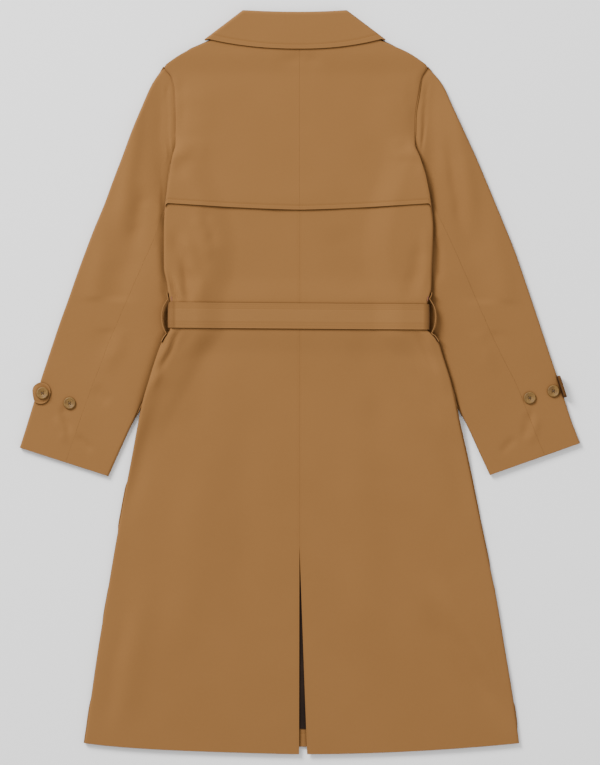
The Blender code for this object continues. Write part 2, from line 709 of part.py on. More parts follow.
LoopStop = namedtuple("LoopStop", "off_edge down")
LOOP_PATH = (
    LoopStop(1.0, 424.0),
    LoopStop(1.2, 430.0),
    LoopStop(5.5, 437.0),
    LoopStop(11.0, 448.0),
    LoopStop(12.5, 459.0),
    LoopStop(11.5, 470.0),
    LoopStop(8.5, 480.0),
    LoopStop(3.0, 490.0),
    LoopStop(1.8, 497.0),
)
LOOP_WIDTH = 8.0
LOOP_OVER_SLEEVE = 2.4


def build_belt_loops():
    """A narrow strap at each side, standing off the belt, sewn to the side seam above and below it."""
    for side in SIDE_SIGN:
        edge = body_edge(side, BELT_DOWN)
        bottom = SLEEVE_LIFT + LOOP_OVER_SLEEVE

        def loop_point(row, column, side=side, edge=edge, bottom=bottom):
            stop = LOOP_PATH[row]
            rest = max(body_edge(side, stop.down), edge)
            across = max(edge + stop.off_edge, rest + 0.4 + LOOP_CLOTH)
            return Vector((SIDE_SIGN[side] * across, -stop.down, bottom + LOOP_WIDTH * column / 2.0))

        mesh = place_grid(len(LOOP_PATH), 3, loop_point)
        face_outwards(mesh, loop_point(4, 1), Vector((SIDE_SIGN[side], 0.0, 0.0)))
        make_object("belt_loop_" + side, mesh, CLOTH_FINISH, LOOP_CLOTH)


# ---- cuff tabs and buttons --------------------------------------------------------------------

TabStop = namedtuple("TabStop", "off_edge height width")
TAB_LEFT_PATH = (
    TabStop(0.6, 1.2, 14.0),
    TabStop(3.4, 1.0, 13.0),
    TabStop(6.2, 1.9, 12.0),
    TabStop(7.6, 4.4, 12.0),
    TabStop(7.0, 7.5, 14.0),
    TabStop(4.4, 9.5, 22.0),
    TabStop(1.0, 10.0, 28.4),
    TabStop(-3.0, 9.8, 31.4),
    TabStop(-7.0, 9.6, 32.0),
    TabStop(-11.0, 9.5, 30.6),
    TabStop(-15.0, 9.5, 26.4),
    TabStop(-18.0, 9.5, 20.0),
    TabStop(-20.2, 9.5, 10.0),
)
TAB_RIGHT_PATH = (
    TabStop(2.7, 2.4, 34.0),
    TabStop(3.6, 4.4, 34.0),
    TabStop(4.2, 7.0, 34.0),
    TabStop(4.4, 10.0, 33.0),
    TabStop(4.2, 13.0, 31.0),
    TabStop(3.8, 15.5, 27.0),
)
TAB_DOWN = {"left": 573.0, "right": 565.5}
TAB_PATHS = {"left": TAB_LEFT_PATH, "right": TAB_RIGHT_PATH}
TAB_WIDTH_STEPS = 7


def sleeve_outer_edge(side, down):
    downs = [row.outer_down for row in SLEEVE_ROWS]
    return read_table(downs, [getattr(row, "outer_" + side) for row in SLEEVE_ROWS], down)


def build_cuff_tabs():
    """Straps that come round the sleeve's outer edge. The left one is buttoned down on the sleeve,
    the right one stands up beside it."""
    for side, path in TAB_PATHS.items():
        sign = SIDE_SIGN[side]
        down = TAB_DOWN[side]
        along = Vector((sleeve_outer_edge(side, down + 20.0) - sleeve_outer_edge(side, down - 20.0), 40.0))
        along.normalize()
        outward = Vector((along.y, -along.x))
        root = Vector((sleeve_outer_edge(side, down), down))

        def tab_point(row, column, path=path, sign=sign, root=root, along=along, outward=outward):
            stop = path[row]
            share = column / (TAB_WIDTH_STEPS - 1.0) - 0.5
            place = root + outward * stop.off_edge + along * (stop.width * share)
            return Vector((sign * place.x, -place.y, stop.height))

        mesh = place_grid(len(path), TAB_WIDTH_STEPS, tab_point)
        middle = tab_point(3, 3)
        face_outwards(mesh, middle, Vector((sign, 0.0, 0.0)))
        make_object("cuff_tab_" + side, mesh, CLOTH_FINISH, TAB_CLOTH)


ProfileStop = namedtuple("ProfileStop", "radius_share height_share")
BUTTON_PROFILE = (
    ProfileStop(0.0, 0.0),
    ProfileStop(0.72, 0.0),
    ProfileStop(0.95, 0.25),
    ProfileStop(1.0, 0.6),
    ProfileStop(0.93, 0.95),
    ProfileStop(0.82, 1.0),
    ProfileStop(0.72, 0.78),
    ProfileStop(0.0, 0.7),
)
BUTTON_STEPS = 22


def build_buttons():
    """Turned discs with a raised rim, lying on the cloth."""
    for spot in BUTTONS:
        mesh = bmesh.new()
        base = Vector((spot.across, -spot.down, spot.base + SEAM_GAP))
        profile = []
        for stop in BUTTON_PROFILE:
            off_axis = Vector((stop.radius_share * BUTTON_RADIUS, 0.0, stop.height_share * BUTTON_HEIGHT))
            profile.append(mesh.verts.new((base + off_axis) * MM))
        edges = [mesh.edges.new(pair) for pair in zip(profile, profile[1:])]
        bmesh.ops.spin(
            mesh,
            geom=profile + edges,
            cent=base * MM,
            axis=(0.0, 0.0, 1.0),
            angle=math.tau,
            steps=BUTTON_STEPS,
            use_merge=True,
        )
        bmesh.ops.remove_doubles(mesh, verts=mesh.verts[:], dist=0.000001)
        bmesh.ops.recalc_face_normals(mesh, faces=mesh.faces[:])
        make_object(spot.name, mesh, BUTTON_FINISH)


# ---- the whole coat ---------------------------------------------------------------------------

def clear_scene():
    for left_over in list(bpy.data.objects):
        bpy.data.objects.remove(left_over, do_unlink=True)


def centre_on_origin():
    """Moves every mesh so that the coat's box stands on the origin by the middle of its underside."""
    made = [entry for entry in bpy.data.objects if entry.type == "MESH"]
    points = [vertex.co for entry in made for vertex in entry.data.vertices]
    middle_x = (min(p.x for p in points) + max(p.x for p in points)) / 2.0
    middle_y = (min(p.y for p in points) + max(p.y for p in points)) / 2.0
    lowest = min(p.z for p in points)
    for entry in made:
        for vertex in entry.data.vertices:
            vertex.co -= Vector((middle_x, middle_y, lowest))


def build_coat():
    clear_scene()
    build_fronts()
    build_lining()
    build_backs()
    build_flap()
    build_sleeves()
    build_collar()
    build_belt()
    build_belt_loops()
    build_cuff_tabs()
    build_buttons()
    centre_on_origin()


build_coat()
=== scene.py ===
# %% [markdown]
# # A trench coat, laid out flat with its back up
# The coat lies on a pale studio table and the camera looks straight down on it. A real coat is
# sewn from flat panels of gabardine: two backs, two fronts, a storm flap, two-piece sleeves,
# a collar on its stand, a belt, and tabs at the sleeve ends.
#
# The imported part already has each of these as a plain wall. Here every cloth panel is made again
# as a fine grid on the same form, so that its soft creases and its stitching have somewhere to
# live. It could also be simulated, but a coat at rest hardly moves: placing each crease one by one
# keeps the creases where the photo has them.

import math
from collections import namedtuple
from functools import partial

import bmesh
import bpy
from mathutils import Matrix, Vector, noise


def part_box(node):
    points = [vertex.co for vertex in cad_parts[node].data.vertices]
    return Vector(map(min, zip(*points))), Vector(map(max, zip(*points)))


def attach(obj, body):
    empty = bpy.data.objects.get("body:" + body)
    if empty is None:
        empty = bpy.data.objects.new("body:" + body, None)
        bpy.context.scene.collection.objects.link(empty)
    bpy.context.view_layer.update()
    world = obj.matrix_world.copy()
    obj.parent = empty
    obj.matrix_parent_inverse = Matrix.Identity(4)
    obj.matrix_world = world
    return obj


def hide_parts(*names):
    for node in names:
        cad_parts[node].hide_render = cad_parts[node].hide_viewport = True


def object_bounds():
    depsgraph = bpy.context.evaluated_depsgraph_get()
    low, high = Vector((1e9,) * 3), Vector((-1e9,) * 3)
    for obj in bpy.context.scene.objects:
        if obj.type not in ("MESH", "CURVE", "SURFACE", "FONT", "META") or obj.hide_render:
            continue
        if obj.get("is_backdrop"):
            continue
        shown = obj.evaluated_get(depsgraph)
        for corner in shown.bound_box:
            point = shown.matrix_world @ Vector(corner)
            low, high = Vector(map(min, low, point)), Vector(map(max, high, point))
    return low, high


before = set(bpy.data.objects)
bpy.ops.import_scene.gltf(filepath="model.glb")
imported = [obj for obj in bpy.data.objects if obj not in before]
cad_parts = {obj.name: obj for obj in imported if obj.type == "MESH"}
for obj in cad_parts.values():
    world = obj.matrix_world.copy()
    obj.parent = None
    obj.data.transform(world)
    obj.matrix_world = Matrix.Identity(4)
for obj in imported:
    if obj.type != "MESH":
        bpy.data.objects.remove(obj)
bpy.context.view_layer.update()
MM = 0.001
SIDE_SIGN = {"left": -1.0, "right": 1.0}

# %% [markdown]
# ## Two directions that every piece shares
# A tailor measures a back from the centre seam outwards and from the collar down. So does this
# script: `across` and `down` are millimetres on the cloth, and one function turns them into the
# frame's metres. The centre seam and the collar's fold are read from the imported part.

# %% Tailor's sizes to the frame
CENTRE_SEAM = (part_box("back_left")[1].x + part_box("back_right")[0].x) / 2.0
COLLAR_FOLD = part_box("collar")[1].y


def in_frame(across, down, height):
    return Vector((CENTRE_SEAM + across * MM, COLLAR_FOLD - down * MM, height * MM))


def soft_step(value, start, end):
    """0 at start, 1 at end, smooth between."""
    share = min(max((value - start) / (end - start), 0.0), 1.0)
    return share * share * (3.0 - 2.0 * share)


def window(value, start, full, leaving, end):
    """1 between full and leaving, 0 outside start and end, smooth between."""
    return soft_step(value, start, full) * (1.0 - soft_step(value, leaving, end))


def blend(first, second, share):
    return first + (second - first) * share


def rows_of(kind, *rows):
    """A table whose columns have the names of that kind of row."""
    return tuple(kind(*row) for row in rows)


class Curve:
    """A smooth line through a table's rows, without overshoot."""

    def __init__(self, keys, values):
        self.keys = list(keys)
        self.values = list(values)
        pairs = list(zip(self.keys, self.values))
        rises = [(b[1] - a[1]) / (b[0] - a[0]) for a, b in zip(pairs, pairs[1:])]
        inner = [2.0 * a * b / (a + b) if a * b > 0.0 else 0.0 for a, b in zip(rises, rises[1:])]
        self.slopes = [rises[0], *inner, rises[-1]]

    def __call__(self, key):
        if key <= self.keys[0]:
            return self.values[0]
        if key >= self.keys[-1]:
            return self.values[-1]
        i = next(i for i in range(len(self.keys) - 1) if self.keys[i + 1] >= key)
        span = self.keys[i + 1] - self.keys[i]
        t = (key - self.keys[i]) / span
        line = blend(self.values[i], self.values[i + 1], t * t * (3.0 - 2.0 * t))
        leaving = self.slopes[i] * t * (1.0 - t) ** 2
        arriving = self.slopes[i + 1] * t * t * (1.0 - t)
        return line + span * (leaving - arriving)


def curve_of(rows, value, key=None):
    """The smooth line of a table's column against another column, or against the row number."""
    keys = [getattr(row, key) for row in rows] if key else range(len(rows))
    return Curve(keys, [getattr(row, value) for row in rows])


print("centre seam at", round(CENTRE_SEAM, 5), "collar fold at", round(COLLAR_FOLD, 4))

# %% [markdown]
# ## The body's outline
# The outline is the coat's cut: narrow shoulders, a waist drawn in by the belt, and a skirt that
# flares to the hem. One row of the table is one width, left and right of the centre seam, and a
# smooth curve joins the rows.

# %% Body table and heights of the layers
BodyRow = namedtuple("BodyRow", "down left right")
BODY_ROWS = rows_of(
    BodyRow,
    (36, 116.5, 104.5),
    (47, 137, 125),
    (52.5, 149, 137.5),
    (61.5, 169.4, 158.6),
    (75, 191.4, 180.6),
    (85, 202.3, 191.4),
    (102, 192, 183.8),
    (122, 187.7, 179.7),
    (166, 186.2, 173.7),
    (200.5, 186.4, 173.8),
    (226.5, 192, 182.3),
    (254, 196.4, 190.4),
    (289.5, 201, 196.5),
    (327, 203.6, 200.9),
    (384, 203.6, 199),
    (417, 197.7, 197.9),
    (428, 197, 196.6),
    (437, 194.6, 192.4),
    (481, 194.6, 192.4),
    (489, 201.5, 202.5),
    (502.5, 208.5, 210),
    (522, 215.7, 216),
    (558, 227, 227.3),
    (584, 234.6, 233),
    (615, 241.4, 239),
    (669, 251.6, 251.3),
    (741, 265.4, 266.3),
    (813, 278.3, 281.3),
    (885, 290.3, 296.3),
    (957, 302.3, 308.3),
    (1029, 312.8, 320.3),
    (1100, 323, 330),
)
NECK_DOWN = BODY_ROWS[0].down
HEM_DOWN = BODY_ROWS[-1].down
SHOULDER_DOWN = 85.0
UNDERARM_DOWN = 226.5
HEM_SAG = 16.6
SAG_FROM = 700.0
HEM_BOW = {"left": 0.62, "right": 0.0}
HEM_BOW_POWER = 1.2
HEM_SIDE_POWER = {"left": 5.0, "right": 2.0}
SEAM_GAP = 0.3
SEWN_GAP = 0.04
CLOTH = 1.5
FLAP_CLOTH = 1.6
BELT_CLOTH = 2.5
BODY_RADIUS = 3.4
LEAST_HEIGHT = 2.0
ARMHOLE_DIP = 1.4
ARMHOLE_SLOPE = 9.0
SLEEVE_LIFT = 7.5
BELT_LIFT = 2.9
COLLAR_LIFT = 2.8
BELT_WIDTH = 38.0
BELT_DOWN = 459.0
BELT_TILT = 3.0 / 400.0
BODY_EDGE = {side: curve_of(BODY_ROWS, side, "down") for side in SIDE_SIGN}


def belt_down(across):
    return BELT_DOWN + BELT_TILT * across


print("hem half-widths:", BODY_EDGE["left"](HEM_DOWN), BODY_EDGE["right"](HEM_DOWN))

# %% [markdown]
# ## Creases
# A crease in gabardine is a soft trough or ridge that wanders, swells and fades out. Each row of
# the tables below is one of them: where it starts and ends, how far it spreads and how deep it
# is. Noise makes its line and its depth uneven. The belt and the stitched edges press the cloth
# flat, so creases die out there.

# %% Crease tables
Crease = namedtuple("Crease", "across down to_across to_down half_width height")
BACK_CREASES = rows_of(
    Crease,
    # below the flap, towards the left waist
    (-146, 300, -124, 350, 9, -2),
    (-156, 306, -138, 372, 10, 1.6),
    (-186, 336, -160, 424, 10, -2.8),
    (-174, 340, -146, 430, 12, 2.6),
    (-194, 402, -178, 452, 3.6, -3.8),
    (-187, 396, -171, 452, 4, 1.6),
    (-174, 376, -164, 452, 5, -2.6),
    # below the flap, towards the right waist
    (182, 352, 164, 430, 11, -2),
    (191, 330, 187, 432, 7, 1.8),
    (60, 330, 96, 420, 26, -1.4),
    # below the belt, where the skirt springs out
    (-177, 472, -209, 542, 4.2, -3.4),
    (-187, 480, -222, 570, 7, 3.2),
    (-162, 480, -208, 590, 13, -1.5),
    (-205, 545, -262, 760, 15, -2.6),
    (-222, 560, -270, 740, 11, 1.8),
    (-132, 486, -160, 640, 20, -1),
    (178, 484, 204, 536, 6, -2.6),
    (187, 484, 219, 570, 7, 2.2),
    (160, 486, 206, 610, 14, -1.8),
    (203, 560, 250, 745, 16, -1.8),
    (95, 488, 130, 660, 24, -1.5),
    # long soft waves down the skirt
    (-150, 660, -176, 980, 30, 2.2),
    (-78, 620, -92, 930, 30, -2),
    (86, 640, 104, 960, 32, 2),
    (196, 905, 306, 1066, 16, -3.4),
    (206, 860, 312, 1020, 15, 2.2),
    (-232, 860, -268, 1075, 22, 2.4),
    (-262, 900, -290, 1080, 12, -1.6),
    # shoulders and under the arms
    (-176, 105, -178, 190, 8, -1.5),
    (-152, 205, -186, 246, 12, -1.8),
    (-140, 110, -156, 220, 24, 1.6),
    (172, 108, 168, 195, 9, -1.4),
    (150, 200, 178, 240, 12, -1.6),
    (130, 110, 146, 225, 24, 1.5),
    (-30, 74, 32, 74, 9, -1.2),
)
SLEEVE_CREASES = rows_of(
    Crease,
    # beside the armhole
    (-198, 112, -199, 186, 2.2, -2.2),
    (-199.5, 176, -194, 228, 2.2, -2.4),
    (-203, 100, -205, 290, 16, -3.6),
    (-238, 112, -270, 330, 14, 3.8),
    (-236, 270, -246, 350, 11, -2.4),
    (-198, 246, -202, 330, 6, -3.4),
    (-204, 325, -197, 440, 6, -3.6),
    (192.5, 104, 184, 206, 2.4, -2.6),
    (196, 104, 200, 285, 15, -3.2),
    (230, 118, 262, 325, 14, 3.2),
    (223, 200, 246, 330, 9, -2.8),
    (206, 345, 208, 402, 5, -4.2),
    # along the arm
    (-243, 320, -290, 500, 20, -2.4),
    (-285, 300, -318, 470, 16, 1.8),
    (-262, 470, -290, 540, 12, 1.8),
    (246, 320, 292, 500, 20, -2.2),
    (286, 300, 318, 470, 16, 1.6),
    (264, 470, 292, 540, 12, 1.6),
    # above the cuffs
    (-357, 596, -344, 632, 5, -2),
    (-364, 610, -350, 648, 6, 1.4),
    (-332, 640, -312, 660, 5, -1.8),
    (-308, 570, -286, 586, 9, -1.6),
    (350, 600, 336, 640, 5, -1.8),
    (358, 612, 346, 650, 6, 1.3),
    (322, 642, 304, 664, 5, -1.6),
)
print(len(BACK_CREASES), "creases on the back,", len(SLEEVE_CREASES), "on the sleeves")

# %% Height of the creases
WANDER = 0.45
UNEVENNESS = 0.3
RIPPLE_HEIGHT = 0.22
RIPPLE_LENGTH = 38.0
CREASE_FADE = (-0.15, 0.25, 0.75, 1.15)
CREASE_REACH = 3.0
PRESSED_BY_BELT = 9.0


def uneven(across, down, length, seed=0.0):
    """Noise from about -1 to 1 whose bumps are about that long."""
    return noise.noise(Vector((across / length, down / length, seed)))


def crease_height(creases, across, down):
    """How far the creases at a place raise or lower the cloth."""
    total = RIPPLE_HEIGHT * uneven(across, down, RIPPLE_LENGTH, 5.0)
    for crease in creases:
        run = Vector((crease.to_across - crease.across, crease.to_down - crease.down))
        place = Vector((across - crease.across, down - crease.down))
        along = place.dot(run) / run.length_squared
        if not CREASE_FADE[0] < along < CREASE_FADE[-1]:
            continue
        aside = place.cross(run) / run.length / crease.half_width
        aside += WANDER * uneven(along * 3.0, crease.down, 1.0, crease.across)
        if abs(aside) > CREASE_REACH:
            continue
        swell = 1.0 + UNEVENNESS * uneven(along * 4.0, crease.across, 1.0, crease.down)
        fade = window(along, *CREASE_FADE)
        total += crease.height * swell * math.exp(-aside * aside) * fade
    off_belt = abs(down - belt_down(across)) - BELT_WIDTH / 2.0
    return total * soft_step(off_belt, 0.0, PRESSED_BY_BELT)


waist_crease = crease_height(BACK_CREASES, -186.0, 425.0)
print("crease above the left waist:", round(waist_crease, 2), "mm")

# %% [markdown]
# ## The sleeves' outline
# A coat sleeve is cut in two pieces, so that it bends like an arm, and the seam between them
# shows on the back of the arm. Each row of the table is a line across the sleeve, from its outer
# edge to its inner edge. Seam is how much of that line lies outside the seam, and follow is how
# closely the line keeps to the armhole.

# %% Sleeve table
SleeveRow = namedtuple(
    "SleeveRow",
    "outer_left outer_right outer_down inner_left inner_right inner_down "
    "follow seam_left seam_right",
)
SLEEVE_ROWS = rows_of(
    SleeveRow,
    (204.1, 192.8, 85, 192, 182.3, 226.5, 1, 0.93, 0.93),
    (221.6, 214.4, 111, 190.5, 181, 234, 0.4, 0.93, 0.93),
    (237.8, 231.4, 147, 186.5, 178, 243, 0.15, 0.92, 0.92),
    (252.8, 248, 183, 180, 173, 255, 0, 0.89, 0.89),
    (266, 264.6, 219, 172, 167, 271, 0, 0.81, 0.81),
    (279.8, 279.8, 255, 163, 160, 292, 0, 0.72, 0.7),
    (293, 294.8, 291, 155.5, 154.5, 320, 0, 0.63, 0.615),
    (308, 309.6, 327, 151.5, 151, 358, 0, 0.57, 0.53),
    (321.8, 324, 363, 155, 155, 405, 0, 0.51, 0.475),
    (335, 336.5, 399, 166, 166, 450, 0, 0.48, 0.445),
    (347.5, 348.7, 435, 183, 183, 490, 0, 0.47, 0.435),
    (360.5, 360.7, 471, 202, 202, 528, 0, 0.47, 0.427),
    (372.5, 372.6, 507, 220, 220, 563, 0, 0.48, 0.41),
    (384.5, 384.6, 543, 238.5, 238, 597, 0, 0.49, 0.39),
    (396, 396.3, 579, 255, 254, 629, 0, 0.5, 0.387),
    (407, 407.8, 615, 271, 270, 664, 0, 0.51, 0.386),
    (420, 421.2, 652, 287, 285.8, 698, 0, 0.52, 0.385),
)
print("sleeve rows:", len(SLEEVE_ROWS))

# %% [markdown]
# ## Body sections
# Seen from its hem, the coat is a flat tube: the back above, the fronts below, and a rolled edge
# at each side. A panel's point is found from its place on that tube. The tube rides up over the
# sleeve tucked under its side, over the belt and over the collar that lie beneath it.

# %% Points of the body
ALONG_SLEEVE = (188.0, 222.0, 590.0, 720.0)
OFF_INNER_EDGE = (60.0, 12.0)
HELD_BY_BELT, FREE_OF_BELT = 24.0, 64.0
BELT_SLOPE = (1.0, 42.0)
COLLAR_SLOPE = (62.0, 100.0)
ARMHOLE_SPAN = (SHOULDER_DOWN - 8.0, SHOULDER_DOWN + 12.0, UNDERARM_DOWN - 24.0, UNDERARM_DOWN)
# the body rides over the sleeve's inner edge, which these rows follow closely enough
INNER_ROWS = [SLEEVE_ROWS[i] for i in (0, 3, 5, 7, 9, 11, 13, 16)]
INNER_CURVE = {side: curve_of(INNER_ROWS, "inner_" + side, "inner_down") for side in SIDE_SIGN}


def held_by_belt(down):
    """The belt holds the cloth alike over its whole width; beyond it the cloth comes free."""
    off = down - BELT_DOWN
    if abs(off) >= FREE_OF_BELT:
        return down
    freed = max(abs(off) - HELD_BY_BELT, 0.0) * FREE_OF_BELT / (FREE_OF_BELT - HELD_BY_BELT)
    return BELT_DOWN + math.copysign(freed, off)


def sleeve_lift(side, across, down):
    down = held_by_belt(down)
    inner = INNER_CURVE[side](down)
    beside = soft_step(across, *(inner - off for off in OFF_INNER_EDGE))
    return SLEEVE_LIFT * beside * window(down, *ALONG_SLEEVE)


def body_lift(side, across, down):
    """Height of the fronts' underside over the table."""
    off_belt = abs(down - belt_down(SIDE_SIGN[side] * across)) - BELT_WIDTH / 2.0
    belt = BELT_LIFT * (1.0 - soft_step(off_belt, *BELT_SLOPE))
    collar = COLLAR_LIFT * (1.0 - soft_step(down, *COLLAR_SLOPE))
    return sleeve_lift(side, across, down) + belt + collar


def edge_roll(down):
    """1 where the side is a rolled edge, 0 along the armhole."""
    return 1.0 - window(down, *ARMHOLE_SPAN)


def hem_sag(side, across, row_down):
    share = min(abs(across) / BODY_EDGE[side](row_down), 1.0)
    rise = blend(share ** HEM_SIDE_POWER[side], share**HEM_BOW_POWER, HEM_BOW[side])
    return HEM_SAG * (1.0 - rise) * soft_step(row_down, SAG_FROM, HEM_DOWN)


def body_place(side, start, share, angle, row_down, out=0.0):
    """Across, down, and how far the rolled side has turned down there."""
    turn = math.radians(angle)
    flat_end = BODY_EDGE[side](row_down) - BODY_RADIUS
    if angle < 90.0:
        reach = (BODY_RADIUS + out * edge_roll(row_down)) * math.cos(turn)
        across = flat_end + reach * (1.0 - SEAM_GAP / 2.0 / BODY_RADIUS)
    else:
        across = blend(start, flat_end, share)
    return across, row_down + hem_sag(side, across, row_down), turn


def body_point(side, start, share, angle, row_down, upper, out=0.0):
    """A point of the cloth's outer side; out moves it off the back, for a layer above it."""
    across, down, turn = body_place(side, start, share, angle, row_down, out)
    rise = BODY_RADIUS * (1.0 - edge_roll(row_down) * (1.0 - math.sin(turn)))
    height = body_lift(side, across, down) + BODY_RADIUS
    if upper:
        edge = BODY_EDGE[side](row_down)
        pulled_in = soft_step(across, edge - ARMHOLE_SLOPE, edge)
        height -= ARMHOLE_DIP * (1.0 - edge_roll(row_down)) * pulled_in
        pressed = crease_height(BACK_CREASES, SIDE_SIGN[side] * across, down)
        height += max(rise, SEAM_GAP) + (pressed + out) * math.sin(turn)
        height = max(height, LEAST_HEIGHT)
    else:
        height -= max(rise, SEAM_GAP)
    return Vector((SIDE_SIGN[side] * across, down, height))


print("side of the waist:", body_point("left", 0.0, 1.0, 0.0, BELT_DOWN, True)[:])

# %% [markdown]
# ## One helper for every cloth panel
# A panel is a grid whose vertices are put on the form, and a Solidify modifier gives it the
# cloth's thickness. Beside its place, each vertex stores two lengths: how far it is from the
# edge that is stitched, and how far along that edge it lies. The material reads them to draw
# a row of stitches that follows the cut, which no texture in object space could do.

# %% The cut of each piece
# The cut of what shows of each piece, in metres and square metres. The areas, and the widths of
# the backs, fronts, flap and sleeves, are measured on the panels made below.
Cut = namedtuple("Cut", "width length area")
CUTS = {
    "back": Cut(0.325, 1.085, 0.258),
    "front": Cut(0.36, 1.075, 0.287),
    "flap": Cut(0.205, 0.265, 0.048),
    "top_sleeve": Cut(0.115, 0.61, 0.056),
    "under_sleeve": Cut(0.26, 0.6, 0.107),
    "collar": Cut(0.4, 0.06, 0.0185),
    "collar_stand": Cut(0.3, 0.035, 0.0087),
    "belt": Cut(0.038, 0.8, None),
    "belt_loop": Cut(0.01, 0.08, 0.0008),
    "cuff_tab_left": Cut(0.032, 0.04, 0.0009),
    "cuff_tab_right": Cut(0.034, 0.014, None),
}
print("cuts:", ", ".join(CUTS))

# %% A grid put on a form
Spot = namedtuple("Spot", "place off_edge along")
NO_STITCH = 500.0
EDGE_BAND = 0.4


def hugging(share, count, length):
    """Moves a grid's second line next to its border, so that the cloth's edge turns sharply."""
    step = 1.0 / (count - 1)
    if share < 0.5:
        return EDGE_BAND / length if 0.5 * step < share < 1.5 * step else share
    return 1.0 - hugging(1.0 - share, count, length) if share > 1.0 - 1.5 * step else share


def place_grid(rows, columns, size, spot_at):
    """A grid whose vertex at each row share and column share is put where spot_at says.
    Size is how long the columns and the rows are, in millimetres."""
    grid = bmesh.new()
    off_edge = grid.verts.layers.float.new("off_edge")
    along = grid.verts.layers.float.new("along")
    bmesh.ops.create_grid(grid, x_segments=columns - 1, y_segments=rows - 1, size=1.0)
    for vertex in grid.verts:
        row_share = hugging((vertex.co.y + 1.0) / 2.0, rows, size[0])
        column_share = hugging((vertex.co.x + 1.0) / 2.0, columns, size[1])
        spot = spot_at(row_share, column_share)
        vertex.co = in_frame(*spot.place)
        vertex[off_edge] = spot.off_edge
        vertex[along] = spot.along
    return grid


def look_outwards(grid, near, direction):
    """Turns the faces round if the one nearest a place looks against the direction."""
    grid.normal_update()
    nearest = min(grid.verts, key=lambda vertex: (vertex.co - near).length)
    if nearest.normal.dot(Vector(direction)) < 0.0:
        bmesh.ops.reverse_faces(grid, faces=grid.faces[:])


# %% A panel of cloth
MERGE = 0.00001
UP, UNDERNEATH = (0.0, 0.0, 1.0), (0.0, 0.0, -1.0)
NEAR_MIDDLE = (0.5, 0.3)
CLOTH_PIECES = []


def add_object(name, grid, thickness=0.0):
    data = bpy.data.meshes.new(name)
    grid.to_mesh(data)
    grid.free()
    data.shade_smooth()
    made = bpy.data.objects.new(name, data)
    bpy.context.collection.objects.link(made)
    if thickness:
        wall = made.modifiers.new("wall", "SOLIDIFY")
        wall.thickness = thickness * MM
        wall.offset = -1.0
        wall.use_quality_normals = True
    return made


def stand_in(made, node):
    """The piece rides on the coat and shows in place of its plain solid."""
    cut = CUTS[node] if node in CUTS else CUTS[node.rsplit("_", 1)[0]]
    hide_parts(node)
    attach(made, "root")
    CLOTH_PIECES.append(made)


def make_panel(node, spot_at, thickness, direction, rows, columns, size, closed=False):
    """Spot_at gives the place at a row share and a column share, direction the way it faces
    near its middle. A closed panel's last column lies on its first one."""
    grid = place_grid(rows, columns, size, spot_at)
    if closed:
        bmesh.ops.remove_doubles(grid, verts=grid.verts[:], dist=MERGE)
    look_outwards(grid, in_frame(*spot_at(*NEAR_MIDDLE).place), direction)
    made = add_object(node + "_cloth", grid, thickness)
    stand_in(made, node)
    print(made.name, len(made.data.polygons), "faces")


# %% Round the body's side
FLAT_SHARE = 0.93
ROLL_ANGLES = Curve((0.0, 1.0), (90.0, 0.0))


def over_the_side(column_share):
    """The first columns lie flat, the last ones go round the rolled side."""
    if column_share <= FLAT_SHARE:
        return column_share / FLAT_SHARE, 90.0
    return 1.0, ROLL_ANGLES((column_share - FLAT_SHARE) / (1.0 - FLAT_SHARE))


print("at the last column:", over_the_side(1.0))

# %% [markdown]
# ## Backs and fronts
# The two backs meet at the centre back seam, which opens into a vent below the knee. The seam is
# stitched down along the left back. The fronts lie underneath, the left one over the right.

# %% Points of the backs and fronts
VENT_TOP_DOWN = 802.0
VENT_OPENING = {"left": 0.6, "right": 12.0}
FRONT_OVERLAP = 30.0
FRONT_SLOPE = (30.0, 90.0)
FRONT_HEM_RISE = 11.0
FRONT_STEP = CLOTH + SEAM_GAP


def vent_edge(side, down):
    opened = max(down - VENT_TOP_DOWN, 0.0) / (HEM_DOWN + HEM_SAG - VENT_TOP_DOWN)
    return SEWN_GAP / 2.0 + VENT_OPENING[side] * opened


def back_spot(side, row_share, column_share):
    share, angle = over_the_side(column_share)
    row_down = blend(NECK_DOWN, HEM_DOWN, row_share)
    place = body_point(side, vent_edge(side, row_down), share, angle, row_down, True)
    return Spot(place, abs(place.x) - vent_edge(side, row_down), row_down)


def front_spot(side, row_share, column_share):
    share, angle = over_the_side(column_share)
    row_down = blend(NECK_DOWN, HEM_DOWN - FRONT_HEM_RISE, row_share)
    place = body_point(side, -FRONT_OVERLAP, share, angle, row_down, False)
    if side == "left":
        over = soft_step(-place.x, *(FRONT_OVERLAP + off for off in FRONT_SLOPE))
        place.z += FRONT_STEP * (1.0 - over)
    hem_off = (HEM_DOWN - FRONT_HEM_RISE) - row_down
    return Spot(place, hem_off, abs(place.x))


# %% Make the backs and fronts
BACK_GRID = {"rows": 190, "columns": 66, "size": (1062.0, 300.0)}
FRONT_GRID = {"rows": 110, "columns": 44, "size": (1051.0, 330.0)}
for side in SIDE_SIGN:
    make_panel("back_" + side, partial(back_spot, side), CLOTH, UP, **BACK_GRID)
    make_panel("front_" + side, partial(front_spot, side), CLOTH, UNDERNEATH, **FRONT_GRID)

# %% [markdown]
# ## Storm flap
# A storm flap is a second layer over the shoulders that sheds rain past the back. It hangs free
# below, so it is the back's own surface moved out by its thickness. Its lower edge dips at the
# centre.

# %% Make the flap
FLAP_SIDE_DOWN = 289.5
FLAP_DIP = 10.0
FLAP_DIP_POWER = 1.4
FLAP_HALF_WIDTH = 201.0
FLAP_EDGE_DOWN = 250.0
FLAP_FREE = (0.75, 1.0)
FLAP_WAVE = 45.0
FLAP_OUT = 1.4 * SEAM_GAP + FLAP_CLOTH
FLAP_END_ANGLE = 50.0
FLAP_EASE = 1.0
FLAP_LIP = 5.0


